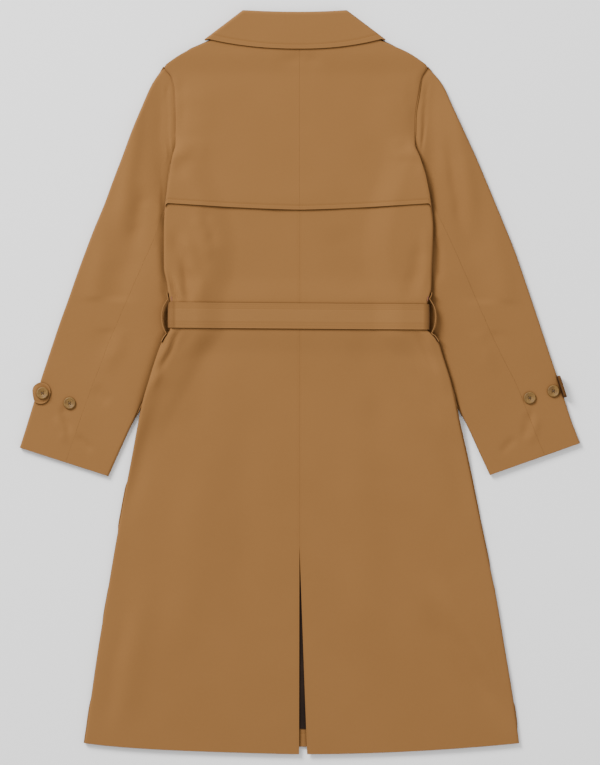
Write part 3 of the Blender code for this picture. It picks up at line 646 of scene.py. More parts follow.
def flap_lower_edge(across):
    share = min(abs(across) / FLAP_HALF_WIDTH, 1.0)
    return FLAP_SIDE_DOWN + FLAP_DIP * (1.0 - share**FLAP_DIP_POWER)


def flap_spot(side, row_share, column_share):
    share, angle = over_the_side(column_share)
    lowest = flap_lower_edge(share * BODY_EDGE[side](FLAP_EDGE_DOWN))
    lowest += FLAP_LIP * min((90.0 - angle) / (90.0 - FLAP_END_ANGLE), 1.0) ** 2
    row_down = blend(NECK_DOWN, lowest, row_share)
    angle = max(angle, FLAP_END_ANGLE * edge_roll(row_down))
    place = body_point(side, SEWN_GAP / 2.0, share, angle, row_down, True, FLAP_OUT)
    free = soft_step(row_share, *FLAP_FREE)
    place.z += FLAP_EASE * free * (1.0 + uneven(place.x, place.y, FLAP_WAVE, 9.0))
    return Spot(place, lowest - row_down, abs(place.x))


FLAP_GRID = {"rows": 70, "columns": 56, "size": (258.0, 200.0)}
for side in SIDE_SIGN:
    make_panel("flap_" + side, partial(flap_spot, side), FLAP_CLOTH, UP, **FLAP_GRID)

# %% [markdown]
# ## Sleeves
# A sleeve is a flat tube too: it rolls over at both edges and tucks its end under the body's side.
# The hidden seam lies near the outer edge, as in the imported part. A real one lies nearer the inner
# edge, so that the top sleeve is the wider piece.

# %% Points of the sleeves
LAST_ROW = len(SLEEVE_ROWS) - 1
CUFF_DROP = {"left": {"outer": 4.5, "inner": 1.8}, "right": {"outer": -2.2, "inner": 0.0}}
SLEEVE_CURVES = {name: curve_of(SLEEVE_ROWS, name) for name in SleeveRow._fields}
SLEEVE_RADIUS = 3.45
ARMHOLE_TUCK = 2.5
ARMHOLE_DROP = 1.9
UNDER_BODY = (3.0, 12.0)
UNDER_BODY_DOWN = (215.0, 235.0)
EDGE_STEP = 0.05
SEAM_MM_PER_ROW = 40.0
SLEEVE_ROLL = 0.22


def sleeve_edge(side, which, row):
    """A point of a sleeve's edge, and the way into the sleeve from there."""
    across = SLEEVE_CURVES[which + "_" + side]
    down = SLEEVE_CURVES[which + "_down"]
    before, after = max(row - EDGE_STEP, 0.0), min(row + EDGE_STEP, LAST_ROW)
    run = Vector((across(after) - across(before), down(after) - down(before))).normalized()
    inwards = Vector((-run.y, run.x)) if which == "outer" else Vector((run.y, -run.x))
    cuff = CUFF_DROP[side][which] * max(row - LAST_ROW + 1.0, 0.0)
    return Vector((across(row), down(row) + cuff)), inwards


def sleeve_point(side, row, share, angle):
    """Share runs from the outer edge to the inner one; angle is 90 on top and -90 underneath."""
    turn = math.radians(angle)
    outer, from_outer = sleeve_edge(side, "outer", row)
    inner, from_inner = sleeve_edge(side, "inner", row)
    place = (outer + from_outer * SLEEVE_RADIUS).lerp(inner + from_inner * SLEEVE_RADIUS, share)
    place -= (from_outer if share < 0.5 else from_inner) * SLEEVE_RADIUS * math.cos(turn)
    top_outer, in_outer = sleeve_edge(side, "outer", 0.0)
    top_inner, in_inner = sleeve_edge(side, "inner", 0.0)
    chord = (top_outer + in_outer * SLEEVE_RADIUS).lerp(top_inner + in_inner * SLEEVE_RADIUS, share)
    bend = BODY_EDGE[side](chord.y) - ARMHOLE_TUCK - chord.x
    place.x += bend * SLEEVE_CURVES["follow"](row) * abs(math.sin(turn))
    height = SLEEVE_RADIUS * (1.0 + math.sin(turn))
    past_armhole = place.x - BODY_EDGE[side](place.y)
    tucked = 1.0 - soft_step(past_armhole, 0.0, ARMHOLE_SLOPE)
    if angle <= 0.0:
        height += LEAST_HEIGHT * tucked
    else:
        covered = soft_step(-past_armhole, *UNDER_BODY) * soft_step(place.y, *UNDER_BODY_DOWN)
        relief = crease_height(SLEEVE_CREASES, SIDE_SIGN[side] * place.x, place.y)
        height += (relief * math.sin(turn) - ARMHOLE_DROP * tucked) * (1.0 - covered)
        height = max(height, SLEEVE_RADIUS)
    return Vector((SIDE_SIGN[side] * place.x, place.y, height))


# %% One wall of a sleeve
UNDER_SEAM = 0.12
SEAM_SHARE = 0.0003


def round_the_sleeve(column_share, upper_end, lower_end, edge_share):
    """Along a wall that goes from the upper side, over one rolled edge, to the underside."""
    flat_end = (1.0 - SLEEVE_ROLL) * abs(upper_end - edge_share)
    flat_end /= abs(upper_end - edge_share) + abs(lower_end - edge_share)
    roll_end = flat_end + SLEEVE_ROLL
    if column_share <= flat_end:
        return blend(upper_end, edge_share, column_share / flat_end), 90.0
    if column_share <= roll_end:
        return edge_share, blend(90.0, -90.0, (column_share - flat_end) / SLEEVE_ROLL)
    under = (column_share - roll_end) / (1.0 - roll_end)
    return blend(edge_share, lower_end, under), -90.0


def sleeve_spot(side, part, row_share, column_share):
    row = row_share * LAST_ROW
    seam = SLEEVE_CURVES["seam_" + side](row)
    # the top sleeve lies outside the seams, the under sleeve inside them
    inside = -1.0 if part == "top" else 1.0
    edge, hidden = (0.0, UNDER_SEAM * 0.98) if part == "top" else (1.0, UNDER_SEAM * 1.02)
    share, angle = round_the_sleeve(column_share, seam + inside * SEAM_SHARE, hidden, edge)
    place = sleeve_point(side, row, share, angle)
    outer, _ = sleeve_edge(side, "outer", row)
    inner, _ = sleeve_edge(side, "inner", row)
    from_seam = abs(share - seam) * (outer - inner).length if angle == 90.0 else NO_STITCH
    return Spot(place, from_seam, row * SEAM_MM_PER_ROW)


# %% Make the sleeves
SLEEVE_GRID = {"rows": 150, "columns": 60, "size": (600.0, 200.0)}
for side in SIDE_SIGN:
    for part in ("top", "under"):
        sleeve = partial(sleeve_spot, side, part)
        make_panel(part + "_sleeve_" + side, sleeve, CLOTH, UP, **SLEEVE_GRID)

# %% [markdown]
# ## Collar and stand
# The collar's leaf is folded down over its stand along the top edge and runs round the neck to
# both fronts. In section it is a flat hoop, like the body, with a rolled fold along the top.

# %% Points of the collar
COLLAR_CLOTH = 2.2
STAND_CLOTH = 2.0
CollarShape = namedtuple(
    "CollarShape", "fold_left fold_right tip_left tip_right top bottom tip_down centre_down first"
)
LEAF = CollarShape(85.2, 71.1, 143.0, 129.4, 14.0, 0.0, 44.0, 58.5, 0.0)
STAND = CollarShape(79.8, 68.1, 113.0, 101.0, 9.6, 2.6, 35.4, 35.4, 3.5)
COLLAR_FOLD_RADIUS = 5.0
COLLAR_TOP_DIP = 2.6
COLLAR_UNDER_REACH = 46.0
COLLAR_BACK_SHARE, COLLAR_END_SHARE = 0.5, 0.3
COLLAR_UNDER_SHARE = 1.0 - COLLAR_BACK_SHARE - COLLAR_END_SHARE
COLLAR_BOW = 2.2
LEAF_ROLL_SHARE, LEAF_ROLL_START = 0.3, 10.0


def collar_place(shape, part, angle, amount, level, fold_turn):
    """Level is 0 at the fold and 1 at the lower edge; fold turn is the roll's angle."""
    radius = (shape.top - shape.bottom) / 2.0
    roll, turn = math.radians(fold_turn), math.radians(angle)
    fold_radius = min(COLLAR_FOLD_RADIUS, radius * 0.9)
    first = shape.first + fold_radius * (1.0 - math.cos(roll))
    side_down = first + level * (shape.tip_down - fold_radius - shape.first)
    slant = (side_down - shape.first) / (shape.tip_down - shape.first)
    half_left = blend(shape.fold_left, shape.tip_left, slant)
    half_right = blend(shape.fold_right, shape.tip_right, slant)
    if part == "middle":
        share = amount
        across = share * ((half_left if share < 0.0 else half_right) - radius)
    else:
        share = 1.0
        half = half_left if part == "left" else half_right
        across = SIDE_SIGN[part] * (half - radius + radius * math.cos(turn) - amount)
    lower = blend(shape.centre_down, shape.tip_down, abs(share) ** COLLAR_BOW)
    down = first + level * (lower - fold_radius - shape.first)
    half_width = shape.fold_left if across < 0.0 else shape.fold_right
    from_corner = max(1.0 - (across / half_width) ** 2, 0.0)
    down += COLLAR_TOP_DIP * from_corner * (1.0 - level) ** 2
    height = (shape.top + shape.bottom) / 2.0
    height += math.sin(turn) * (radius - fold_radius * (1.0 - math.sin(roll)))
    return Vector((across, down, height))


def collar_spot(shape, row_share, column_share):
    """Columns go from under the left end, round it, over the back and round the right end."""
    fold_share = LEAF_ROLL_SHARE if shape is LEAF else 0.0
    fold_turn = 90.0
    level = max(row_share - fold_share, 0.0) / (1.0 - fold_share)
    if row_share < fold_share:
        fold_turn = blend(LEAF_ROLL_START, 90.0, row_share / fold_share)
    from_middle = abs(column_share - 0.5) * 2.0
    past_back = from_middle - COLLAR_BACK_SHARE
    past_end = past_back - COLLAR_END_SHARE
    part = "left" if column_share < 0.5 else "right"
    angle, amount = -90.0, COLLAR_UNDER_REACH * past_end / COLLAR_UNDER_SHARE
    if past_back <= 0.0:
        part, angle = "middle", 90.0
        amount = (column_share - 0.5) * 2.0 / COLLAR_BACK_SHARE
    elif past_end <= 0.0:
        angle, amount = blend(90.0, -90.0, past_back / COLLAR_END_SHARE), 0.0
    place = collar_place(shape, part, angle, amount, level, fold_turn)
    share = min(from_middle / COLLAR_BACK_SHARE, 1.0)
    depth = blend(shape.centre_down, shape.tip_down, share**COLLAR_BOW)
    return Spot(place, (1.0 - level) * depth, place.x)


# %% Make the collar
COLLAR_GRID = {"columns": 161, "size": (60.0, 420.0)}
make_panel("collar", partial(collar_spot, LEAF), COLLAR_CLOTH, UP, rows=40, **COLLAR_GRID)
make_panel("collar_stand", partial(collar_spot, STAND), STAND_CLOTH, UP, rows=14, **COLLAR_GRID)

# %% [markdown]
# ## Belt and its loops
# The belt goes once round the waist over the backs and under the fronts, through a thin loop on
# each side seam. It follows the body's own section, one cloth's thickness further out.

# %% Make the belt
BELT_ARC = 0.01
BELT_WAVE, BELT_WAVE_LENGTH = 0.25, 30.0
BELT_OUT = SEAM_GAP + BELT_CLOTH


def belt_spot(row_share, column_share):
    """Columns go round: over the back, round the right side, under the fronts, round the left."""
    quarter = (column_share % 1.0) * 2.0
    upper = quarter < 1.0
    across_share = (quarter if upper else 2.0 - quarter) * 2.0 - 1.0
    side = "left" if across_share < 0.0 else "right"
    flat = 1.0 - 2.0 * BELT_ARC
    reach = min(abs(across_share) / flat, 1.0)
    angle = 90.0 * (1.0 - max(abs(across_share) - flat, 0.0) / (1.0 - flat))
    turn = math.radians(angle if upper else -angle)
    across = reach * (BODY_EDGE[side](BELT_DOWN) - BODY_RADIUS)
    down = belt_down(SIDE_SIGN[side] * across) + (row_share - 0.5) * BELT_WIDTH
    radius = BODY_RADIUS + BELT_OUT
    height = body_lift(side, across, down) + BODY_RADIUS + radius * math.sin(turn)
    if upper:
        height += BELT_WAVE * uneven(across, down, BELT_WAVE_LENGTH, 3.0)
    across = SIDE_SIGN[side] * (across + radius * math.cos(turn))
    off_edge = min(row_share, 1.0 - row_share) * BELT_WIDTH
    return Spot(Vector((across, down, height)), off_edge, across)


BELT_GRID = {"rows": 17, "columns": 401, "size": (BELT_WIDTH, 800.0)}
make_panel("belt", belt_spot, BELT_CLOTH, UP, closed=True, **BELT_GRID)

# %% Make the loops
LoopStop = namedtuple("LoopStop", "off_edge down")
LOOP_PATH = rows_of(
    LoopStop,
    (1, 424),
    (1.2, 430),
    (5.5, 437),
    (11, 448),
    (12.5, 459),
    (11.5, 470),
    (8.5, 480),
    (3, 490),
    (1.8, 497),
)
LOOP_CLOTH = 1.3
LOOP_WIDTH = 8.0
LOOP_BOTTOM = SLEEVE_LIFT + 2.4
LOOP_GAP = 0.4
LOOP_DOWN = curve_of(LOOP_PATH, "down")
LOOP_OFF = curve_of(LOOP_PATH, "off_edge")


def loop_spot(side, row_share, column_share):
    stop = row_share * (len(LOOP_PATH) - 1)
    down = LOOP_DOWN(stop)
    edge = BODY_EDGE[side](BELT_DOWN)
    rest = max(BODY_EDGE[side](down), edge) + LOOP_GAP + LOOP_CLOTH
    across = max(edge + LOOP_OFF(stop), rest)
    place = Vector((SIDE_SIGN[side] * across, down, LOOP_BOTTOM + LOOP_WIDTH * column_share))
    return Spot(place, min(column_share, 1.0 - column_share) * LOOP_WIDTH, down)


LOOP_GRID = {"rows": 60, "columns": 9, "size": (75.0, LOOP_WIDTH)}
for side, sign in SIDE_SIGN.items():
    outwards = (sign, 0.0, 0.0)
    make_panel("belt_loop_" + side, partial(loop_spot, side), LOOP_CLOTH, outwards, **LOOP_GRID)

# %% [markdown]
# ## Cuff tabs
# A strap comes out of the seam at each sleeve end. The left one lies buttoned on the sleeve, the
# right one stands up at the edge, so the camera sees it edge-on.

# %% Points of the tabs
TabStop = namedtuple("TabStop", "off_edge height width shift")
TAB_LEFT = rows_of(
    TabStop,
    (0.6, 1.2, 14, -2),
    (3.4, 1, 10, -2.5),
    (6.2, 1.9, 6, -3),
    (7.6, 4.4, 4, -3.2),
    (7, 7.5, 7, -3.2),
    (4.4, 9.5, 17, -2.6),
    (1, 10, 26.5, -1.2),
    (-3, 9.8, 31.4, 0),
    (-7, 9.6, 32, 0),
    (-11, 9.5, 30.6, 0),
    (-15, 9.5, 26.4, 0),
    (-18, 9.5, 20, 0),
    (-20.2, 9.5, 10, 0),
)
TAB_RIGHT = rows_of(
    TabStop,
    (2.7, 2.4, 34, 0),
    (3.6, 4.4, 34, 0),
    (4.2, 7, 34, 0),
    (4.4, 10, 33, 0),
    (4.2, 13, 31, 0),
    (3.8, 15.5, 27, 0),
)
TAB_PATHS = {"left": TAB_LEFT, "right": TAB_RIGHT}
TAB_DOWN = {"left": 573.0, "right": 565.5}
TAB_CLOTH = {"left": 2.2, "right": 3.8}
TAB_REACH = 20.0
TAB_LENGTH = 30.0
TAB_CURVES = {
    side: [curve_of(path, name) for name in TabStop._fields] for side, path in TAB_PATHS.items()
}
OUTER_EDGE = {side: curve_of(SLEEVE_ROWS, "outer_" + side, "outer_down") for side in SIDE_SIGN}


def tab_spot(side, row_share, column_share):
    stop = row_share * (len(TAB_PATHS[side]) - 1)
    off_edge, height, width, shift = (curve(stop) for curve in TAB_CURVES[side])
    down, edge = TAB_DOWN[side], OUTER_EDGE[side]
    lean = edge(down + TAB_REACH) - edge(down - TAB_REACH)
    along = Vector((lean, 2.0 * TAB_REACH)).normalized()
    outward = Vector((along.y, -along.x))
    place = Vector((edge(down), down)) + outward * off_edge
    place += along * (width * (column_share - 0.5) + shift)
    from_side = min(column_share, 1.0 - column_share) * width
    from_edge = min((1.0 - row_share) * TAB_LENGTH, from_side)
    return Spot(Vector((SIDE_SIGN[side] * place.x, place.y, height)), from_edge, from_side)


# %% Make the tabs
TAB_GRID = {"rows": 34, "columns": 21, "size": (40.0, 34.0)}
for side, sign in SIDE_SIGN.items():
    outwards = (sign, 0.0, 0.0)
    make_panel("cuff_tab_" + side, partial(tab_spot, side), TAB_CLOTH[side], outwards, **TAB_GRID)

# %% [markdown]
# ## Buttons
# A coat button is a turned disc with a raised rim and four holes, sewn on with a cross of thread.
# The disc is a profile spun round its axis. The holes are cut by a hidden piece with a Boolean
# modifier, which keeps the profile easy to change.

# %% A button's profile and sizes
ProfileStop = namedtuple("ProfileStop", "radius rise")
BUTTON_PROFILE = rows_of(
    ProfileStop,
    (0, 0),
    (0.72, 0),
    (0.93, 0.2),
    (1, 0.55),
    (0.97, 0.82),
    (0.9, 0.97),
    (0.82, 1),
    (0.75, 0.93),
    (0.69, 0.8),
    (0.55, 0.78),
    (0.46, 0.72),
    (0.38, 0.55),
    (0, 0.5),
)
BUTTON_STEPS = 48
HOLE_RING = 0.17
HOLE_TURN, HOLE_TURN_SPREAD = 45.0, 20.0
HOLE_RADIUS = 0.085
HOLE_SIDES = 16
HOLE_LENGTH = 3.0
THREAD_LEVEL = 0.52
THREAD_RADIUS = 0.045
THREAD_SIDES = 8
print(len(BUTTON_PROFILE), "stops from the middle of the back, round the rim, to the hollow")


# %% Turn, drill and sew a button
def spin_button(name, middle, bottom, radius, height):
    button = bmesh.new()
    base = Vector((middle.x, middle.y, bottom))
    curve = [
        button.verts.new(base + Vector((stop.radius * radius, 0.0, stop.rise * height)))
        for stop in BUTTON_PROFILE
    ]
    edges = [button.edges.new(pair) for pair in zip(curve, curve[1:])]
    turn = {"cent": base, "axis": UP, "angle": math.tau, "steps": BUTTON_STEPS}
    bmesh.ops.spin(button, geom=curve + edges, use_merge=True, use_duplicate=False, **turn)
    bmesh.ops.remove_doubles(button, verts=button.verts[:], dist=MERGE)
    bmesh.ops.recalc_face_normals(button, faces=button.faces[:])
    return add_object(name, button)


def hole_places(middle, radius):
    """The four holes stand on a small square, turned a little on every button."""
    other = uneven(middle.x / MM, middle.y / MM, 90.0, 2.0)
    turned = math.radians(HOLE_TURN + HOLE_TURN_SPREAD * other)
    for quarter in range(4):
        angle = turned + quarter * math.pi / 2.0
        reach = radius * HOLE_RING * math.sqrt(2.0)
        yield middle + Vector((math.cos(angle) * reach, math.sin(angle) * reach, 0.0))


def add_rod(mesh, radius, length, sides, matrix):
    size = {"radius1": radius, "radius2": radius, "depth": length}
    bmesh.ops.create_cone(mesh, cap_ends=True, segments=sides, matrix=matrix, **size)


def cut_holes(button, middle, radius, height):
    holes = bmesh.new()
    for place in hole_places(middle, radius):
        rod = Matrix.Translation(place)
        add_rod(holes, radius * HOLE_RADIUS, height * HOLE_LENGTH, HOLE_SIDES, rod)
    cutter = add_object(button.name + "_holes", holes)
    cutter.hide_render = True
    cutter.hide_viewport = True
    cut = button.modifiers.new("holes", "BOOLEAN")
    cut.object = cutter
    cut.operation = "DIFFERENCE"
    cut.solver = "EXACT"


def sew_thread(name, middle, height, radius):
    """Two crossed stitches between the holes."""
    thread = bmesh.new()
    places = list(hole_places(Vector((middle.x, middle.y, height)), radius))
    for first, second in ((places[0], places[2]), (places[1], places[3])):
        across = second - first
        lying = Matrix.Translation((first + second) / 2.0)
        lying @= across.to_track_quat("Z", "Y").to_matrix().to_4x4()
        add_rod(thread, radius * THREAD_RADIUS, across.length, THREAD_SIDES, lying)
    return add_object(name, thread)


# %% Make the buttons
BUTTON_NODES = ("button_tab_left", "button_sleeve_left", "button_sleeve_right", "button_edge_right")
BUTTONS = []
THREADS = []
for node in BUTTON_NODES:
    low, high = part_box(node)
    middle = (low + high) / 2.0
    radius = (high.x - low.x) / 2.0
    button = spin_button(node + "_disc", middle, low.z, radius, high.z - low.z)
    cut_holes(button, middle, radius, high.z - low.z)
    thread_height = low.z + (high.z - low.z) * THREAD_LEVEL
    thread = sew_thread(node + "_thread", middle, thread_height, radius)
    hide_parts(node)
    for piece, slot in ((button, "button"), (thread, "shell_cloth")):
        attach(piece, "root")
    BUTTONS.append(button)
    THREADS.append(thread)
print(len(BUTTONS), "buttons")

# %% [markdown]
# ## Bar tacks
# Where a loop is sewn to the coat its ends are fixed by a bar tack, a short block of dense
# zigzag stitching in a reddish thread.

# %% Make the bar tacks
TACK_SIZE = Vector((1.6, 7.0, 0.5))
TACK_BEVEL = 0.2
NEAR_SIDE = 0.985
TackSpot = namedtuple("TackSpot", "across down tilt")
TACKS = (TackSpot(-191.5, 433.5, 8.0), TackSpot(192.0, 433.5, -8.0))
TACK_PIECES = []
for number, tack in enumerate(TACKS):
    side = "left" if tack.across < 0.0 else "right"
    under = body_point(side, 0.0, NEAR_SIDE, 90.0, tack.down, True)
    block = bmesh.new()
    bmesh.ops.create_cube(block, size=1.0)
    bmesh.ops.scale(block, vec=TACK_SIZE * MM, verts=block.verts[:])
    rounding = {"offset": TACK_BEVEL * MM, "offset_type": "OFFSET", "segments": 2, "profile": 0.5}
    bmesh.ops.bevel(block, geom=block.edges[:], affect="EDGES", material=-1, **rounding)
    tilt = Matrix.Rotation(math.radians(tack.tilt), 3, "Z")
    bmesh.ops.rotate(block, matrix=tilt, verts=block.verts[:])
    place = in_frame(tack.across, tack.down, under.z + TACK_BEVEL)
    bmesh.ops.translate(block, vec=place, verts=block.verts[:])
    piece = add_object("bar_tack_" + side, block)
    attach(piece, "root")
    TACK_PIECES.append(piece)
print(len(TACK_PIECES), "bar tacks")

# %% [markdown]
# ## Shader arithmetic
# A procedural cloth is mostly arithmetic on lengths, so a small class lets Python's own
# operators build the Math nodes: `(off - 6) * 2` reads like the formula it is.

# %% A number in a shader
def connect(tree, target, value):
    if isinstance(value, Value):
        tree.links.new(value.socket, target)
    else:
        target.default_value = value


class Value:
    """A shader socket that Python's operators work on."""

    def __init__(self, tree, socket):
        self.tree = tree
        self.socket = socket

    def math(self, operation, *terms):
        node = self.tree.nodes.new("ShaderNodeMath")
        node.operation = operation
        for target, term in zip(node.inputs, terms):
            connect(self.tree, target, term)
        return Value(self.tree, node.outputs[0])

    def __add__(self, other):
        return self.math("ADD", self, other)

    def __sub__(self, other):
        return self.math("SUBTRACT", self, other)

    def __rsub__(self, other):
        return self.math("SUBTRACT", other, self)

    def __mul__(self, other):
        return self.math("MULTIPLY", self, other)

    def __truediv__(self, other):
        return self.math("DIVIDE", self, other)

    __radd__ = __add__
    __rmul__ = __mul__

    def wave(self, length):
        """A sine of that length, from 0 to 1."""
        return self.math("SINE", self * (math.tau / length)) * 0.5 + 0.5

    def near(self, centre, width):
        """1 within half the width of the centre, falling softly to 0."""
        gap = (self - centre).math("ABSOLUTE", self - centre)
        inside = self.math("MAXIMUM", 0.0, 1.5 - gap / (width / 2.0))
        return self.math("SMOOTH_MIN", 1.0, inside, 0.3)

    def between(self, start, end):
        """0 at start, 1 at end, clamped."""
        node = self.tree.nodes.new("ShaderNodeMapRange")
        node.interpolation_type = "SMOOTHSTEP"
        for name, value in (("Value", self), ("From Min", start), ("From Max", end)):
            connect(self.tree, node.inputs[name], value)
        return Value(self.tree, node.outputs["Result"])


# %% A look round one shader
# crevices get painted shade: an ambient occlusion node turns the colour towards this deep tan
CREVICE = 9.0
CREVICE_SHADE = (0.2, 0.93)
PAINTED_SHADE_TAN = (0.072, 0.029, 0.007)


class Look:
    """A material round one Principled shader."""

    def __init__(self, name, roughness, sheen=0.0, specular=0.5):
        self.material = bpy.data.materials.new(name)
        self.material.use_nodes = True
        self.tree = self.material.node_tree
        self.shader = self.tree.nodes["Principled BSDF"]
        self.set(Roughness=roughness)
        self.shader.inputs["Sheen Weight"].default_value = sheen
        self.shader.inputs["Sheen Roughness"].default_value = 0.5
        self.shader.inputs["Specular IOR Level"].default_value = specular

    def set(self, **values):
        for name, value in values.items():
            connect(self.tree, self.shader.inputs[name.replace("_", " ")], value)

    def node(self, kind, output=0, settings=(), **inputs):
        """Any other node: its type, its settings first, then its inputs."""
        node = self.tree.nodes.new(kind)
        for name, value in dict(settings).items():
            setattr(node, name, value)
        for name, value in inputs.items():
            connect(self.tree, node.inputs[name.replace("_", " ")], value)
        return Value(self.tree, node.outputs[output])

    def attribute(self, name):
        return self.node("ShaderNodeAttribute", "Fac", {"attribute_name": name})

    def place(self, axis=None):
        """The point in object space in millimetres, or one of its coordinates."""
        point = self.node("ShaderNodeTexCoord", "Object")
        scale = {"operation": "SCALE"}
        scaled = self.node("ShaderNodeVectorMath", 0, scale, Vector=point, Scale=1000.0)
        if axis is None:
            return scaled
        return self.node("ShaderNodeSeparateXYZ", axis, Vector=scaled)

    def noise(self, length, detail=2.0):
        """Noise from 0 to 1 whose lumps are about that many millimetres."""
        return self.node(
            "ShaderNodeTexNoise", "Fac", Vector=self.place(), Scale=1.0 / length, Detail=detail
        )

    def mix(self, share, first, second):
        """A colour between two."""
        node = self.tree.nodes.new("ShaderNodeMix")
        node.data_type = "RGBA"
        connect(self.tree, node.inputs["Factor"], share)
        for name, value in (("A", first), ("B", second)):
            target = next(s for s in node.inputs if s.name == name and s.type == "RGBA")
            connect(self.tree, target, value if isinstance(value, Value) else (*value, 1.0))
        return Value(self.tree, next(s for s in node.outputs if s.type == "RGBA"))

    def painted_crevice_shade(self, colour, deep=PAINTED_SHADE_TAN, reach=CREVICE):
        """The colour with painted shade, deeper in crevices where ambient occlusion finds the light
        blocked.
        """
        seen = self.node("ShaderNodeAmbientOcclusion", "AO", {"samples": 12}, Distance=reach * MM)
        return self.mix(seen.between(*CREVICE_SHADE), deep, colour)

    def bump(self, height, distance, strength=1.0, below=None):
        inputs = {"Height": height, "Distance": distance * MM, "Strength": strength}
        if below:
            inputs["Normal"] = below
        return self.node("ShaderNodeBump", "Normal", **inputs)


# %% [markdown]
# ## Gabardine
# Gabardine is a tight twill of fine cotton: fine diagonal ribs, a matt face with a slight sheen,
# and a colour that is very even. The very edges are painted a touch lighter, a painted highlight
# where the rolled edges catch the light. Each stitched edge has a row of stitches a few millimetres
# in, sunk between two soft swells, and the groove is painted a little darker as painted shade.
# Crevices get painted shade too.

# %% Twill with its stitches
TAN = (0.221, 0.1035, 0.0325)
TAN_DEEP = (0.214, 0.1000, 0.0310)
TAN_LIGHT = (0.262, 0.128, 0.043)
THREAD_AND_SHADE_TAN = (0.170, 0.073, 0.019)
RIB_LENGTH = 0.7
STITCH_LENGTH = 3.2
STITCH_WIDTH = 0.9
# the belt's ends past this span get painted shade, as if they turned down round the body
BELT_END_PAINTED_SHADE = (184.0, 188.5)


def cloth_look(
    name, stitch_rows=(), tint=0.0, stitch_dark=0.55, sunk=0.8, edge_highlight=0.0, shade=0.0,
    shaded_end=None,
):
    """Twill with rows of stitches at the given distances from its edge, in millimetres. The edge
    amount paints its very edge lighter, a painted highlight. Shade turns it towards the painted
    shade colour, past the shaded end where there is one."""
    look = Look(name, 0.9, sheen=0.03, specular=0.1)
    ribs = (look.place(0) + look.place(1) * 1.6).wave(RIB_LENGTH)
    slub = look.noise(3.0)
    cloudy = look.noise(120.0)
    colour = look.mix(cloudy.between(0.3, 0.7), TAN_DEEP, TAN)
    colour = look.mix(slub * 0.25 + ribs * 0.06 + tint, colour, TAN_LIGHT)
    relief = ribs * 0.12 + slub * 0.3 + look.noise(14.0) * 0.5
    off_edge, along = look.attribute("off_edge"), look.attribute("along")
    # painted highlight: the very edge is painted lighter, as where a rolled edge catches the light
    if edge_highlight:
        colour = look.mix((1.0 - off_edge.between(0.0, 1.6)) * edge_highlight, colour, TAN_LIGHT)
    for row in stitch_rows:
        line = off_edge.near(row, STITCH_WIDTH)
        dashes = line * along.wave(STITCH_LENGTH).between(0.15, 0.45)
        groove = off_edge.near(row, 3.0)
        pucker = groove * look.noise(7.0)
        colour = look.mix(dashes * stitch_dark, colour, THREAD_AND_SHADE_TAN)
        # painted shade: the cloth in the sunk groove is turned a little towards the thread's dark
        # tan
        colour = look.mix(groove * 0.15 * sunk, colour, THREAD_AND_SHADE_TAN)
        relief = relief - groove * sunk - pucker * 0.5 * sunk + dashes * 0.5 * sunk
    # painted shade, on the belt's ends and on the right tab
    if shade:
        shaded = along.math("ABSOLUTE", along).between(*shaded_end) if shaded_end else 1.0
        colour = look.mix(shaded * shade, colour, PAINTED_SHADE_TAN)
    # painted shade in the crevices darkens the cloth's base colour
    look.set(Base_Color=look.painted_crevice_shade(colour), Normal=look.bump(relief, 0.25, 0.7))
    look.set(Roughness=0.84 + slub * 0.1)
    return look.material


# %% The cloth of each piece
# the edge amount below is a painted highlight along a piece's very edge
LOOKS = {
    "back_": cloth_look("gabardine_back", (2.2,), stitch_dark=0.15, sunk=0.25),
    "front_": cloth_look("gabardine_front", (20.0,)),
    "flap_": cloth_look("gabardine_flap", (6.5,), edge_highlight=0.5),
    "top_sleeve_": cloth_look("gabardine_sleeve"),
    "under_sleeve_": cloth_look("gabardine_under_sleeve"),
    "collar": cloth_look("gabardine_collar", (7.5,), edge_highlight=0.5),
    # the belt's ends have painted shade
    "belt_cloth": cloth_look(
        "gabardine_belt", (2.2, 5.2, 8.4), tint=0.2, stitch_dark=0.3, edge_highlight=0.4, shade=0.3,
        shaded_end=BELT_END_PAINTED_SHADE,
    ),
    "belt_loop": cloth_look("gabardine_loop", (1.5,), tint=0.15),
    "cuff_tab_left": cloth_look("gabardine_tab", (3.5,), tint=0.05, edge_highlight=0.4),
    # the right tab is painted dark: painted shade on a strap seen edge-on
    "cuff_tab_right": cloth_look("gabardine_turned_tab", shade=0.85),
}
for piece in CLOTH_PIECES:
    family = next(start for start in LOOKS if piece.name.startswith(start))
    piece.data.materials.clear()
    piece.data.materials.append(LOOKS[family])
print("cloth looks:", ", ".join(LOOKS))

# %% [markdown]
# ## Lining, buttons and thread
# The lining is a smooth dark satin, with a thin sheen. The buttons are polished resin made to
# look like horn: brown streaks in a tan ground, with painted shade in the hollows.

# %% Other materials
LINING = (0.012, 0.0055, 0.003)
LINING_PALE = (0.020, 0.010, 0.0055)
HORN = (0.200, 0.108, 0.028)
HORN_DARK = (0.140, 0.072, 0.019)
HORN_PAINTED_SHADE = (0.035, 0.016, 0.006)
BUTTON_THREAD = (0.050, 0.024, 0.010)
TACK_THREAD = (0.190, 0.070, 0.036)


def lining_look():
    look = Look("dark_lining", 0.6, sheen=0.05, specular=0.12)
    look.set(Base_Color=look.mix(look.noise(40.0).between(0.3, 0.7), LINING, LINING_PALE))
    look.set(Normal=look.bump(look.place(1).wave(0.5) * 0.3 + look.noise(12.0), 0.2, 0.5))
    return look.material


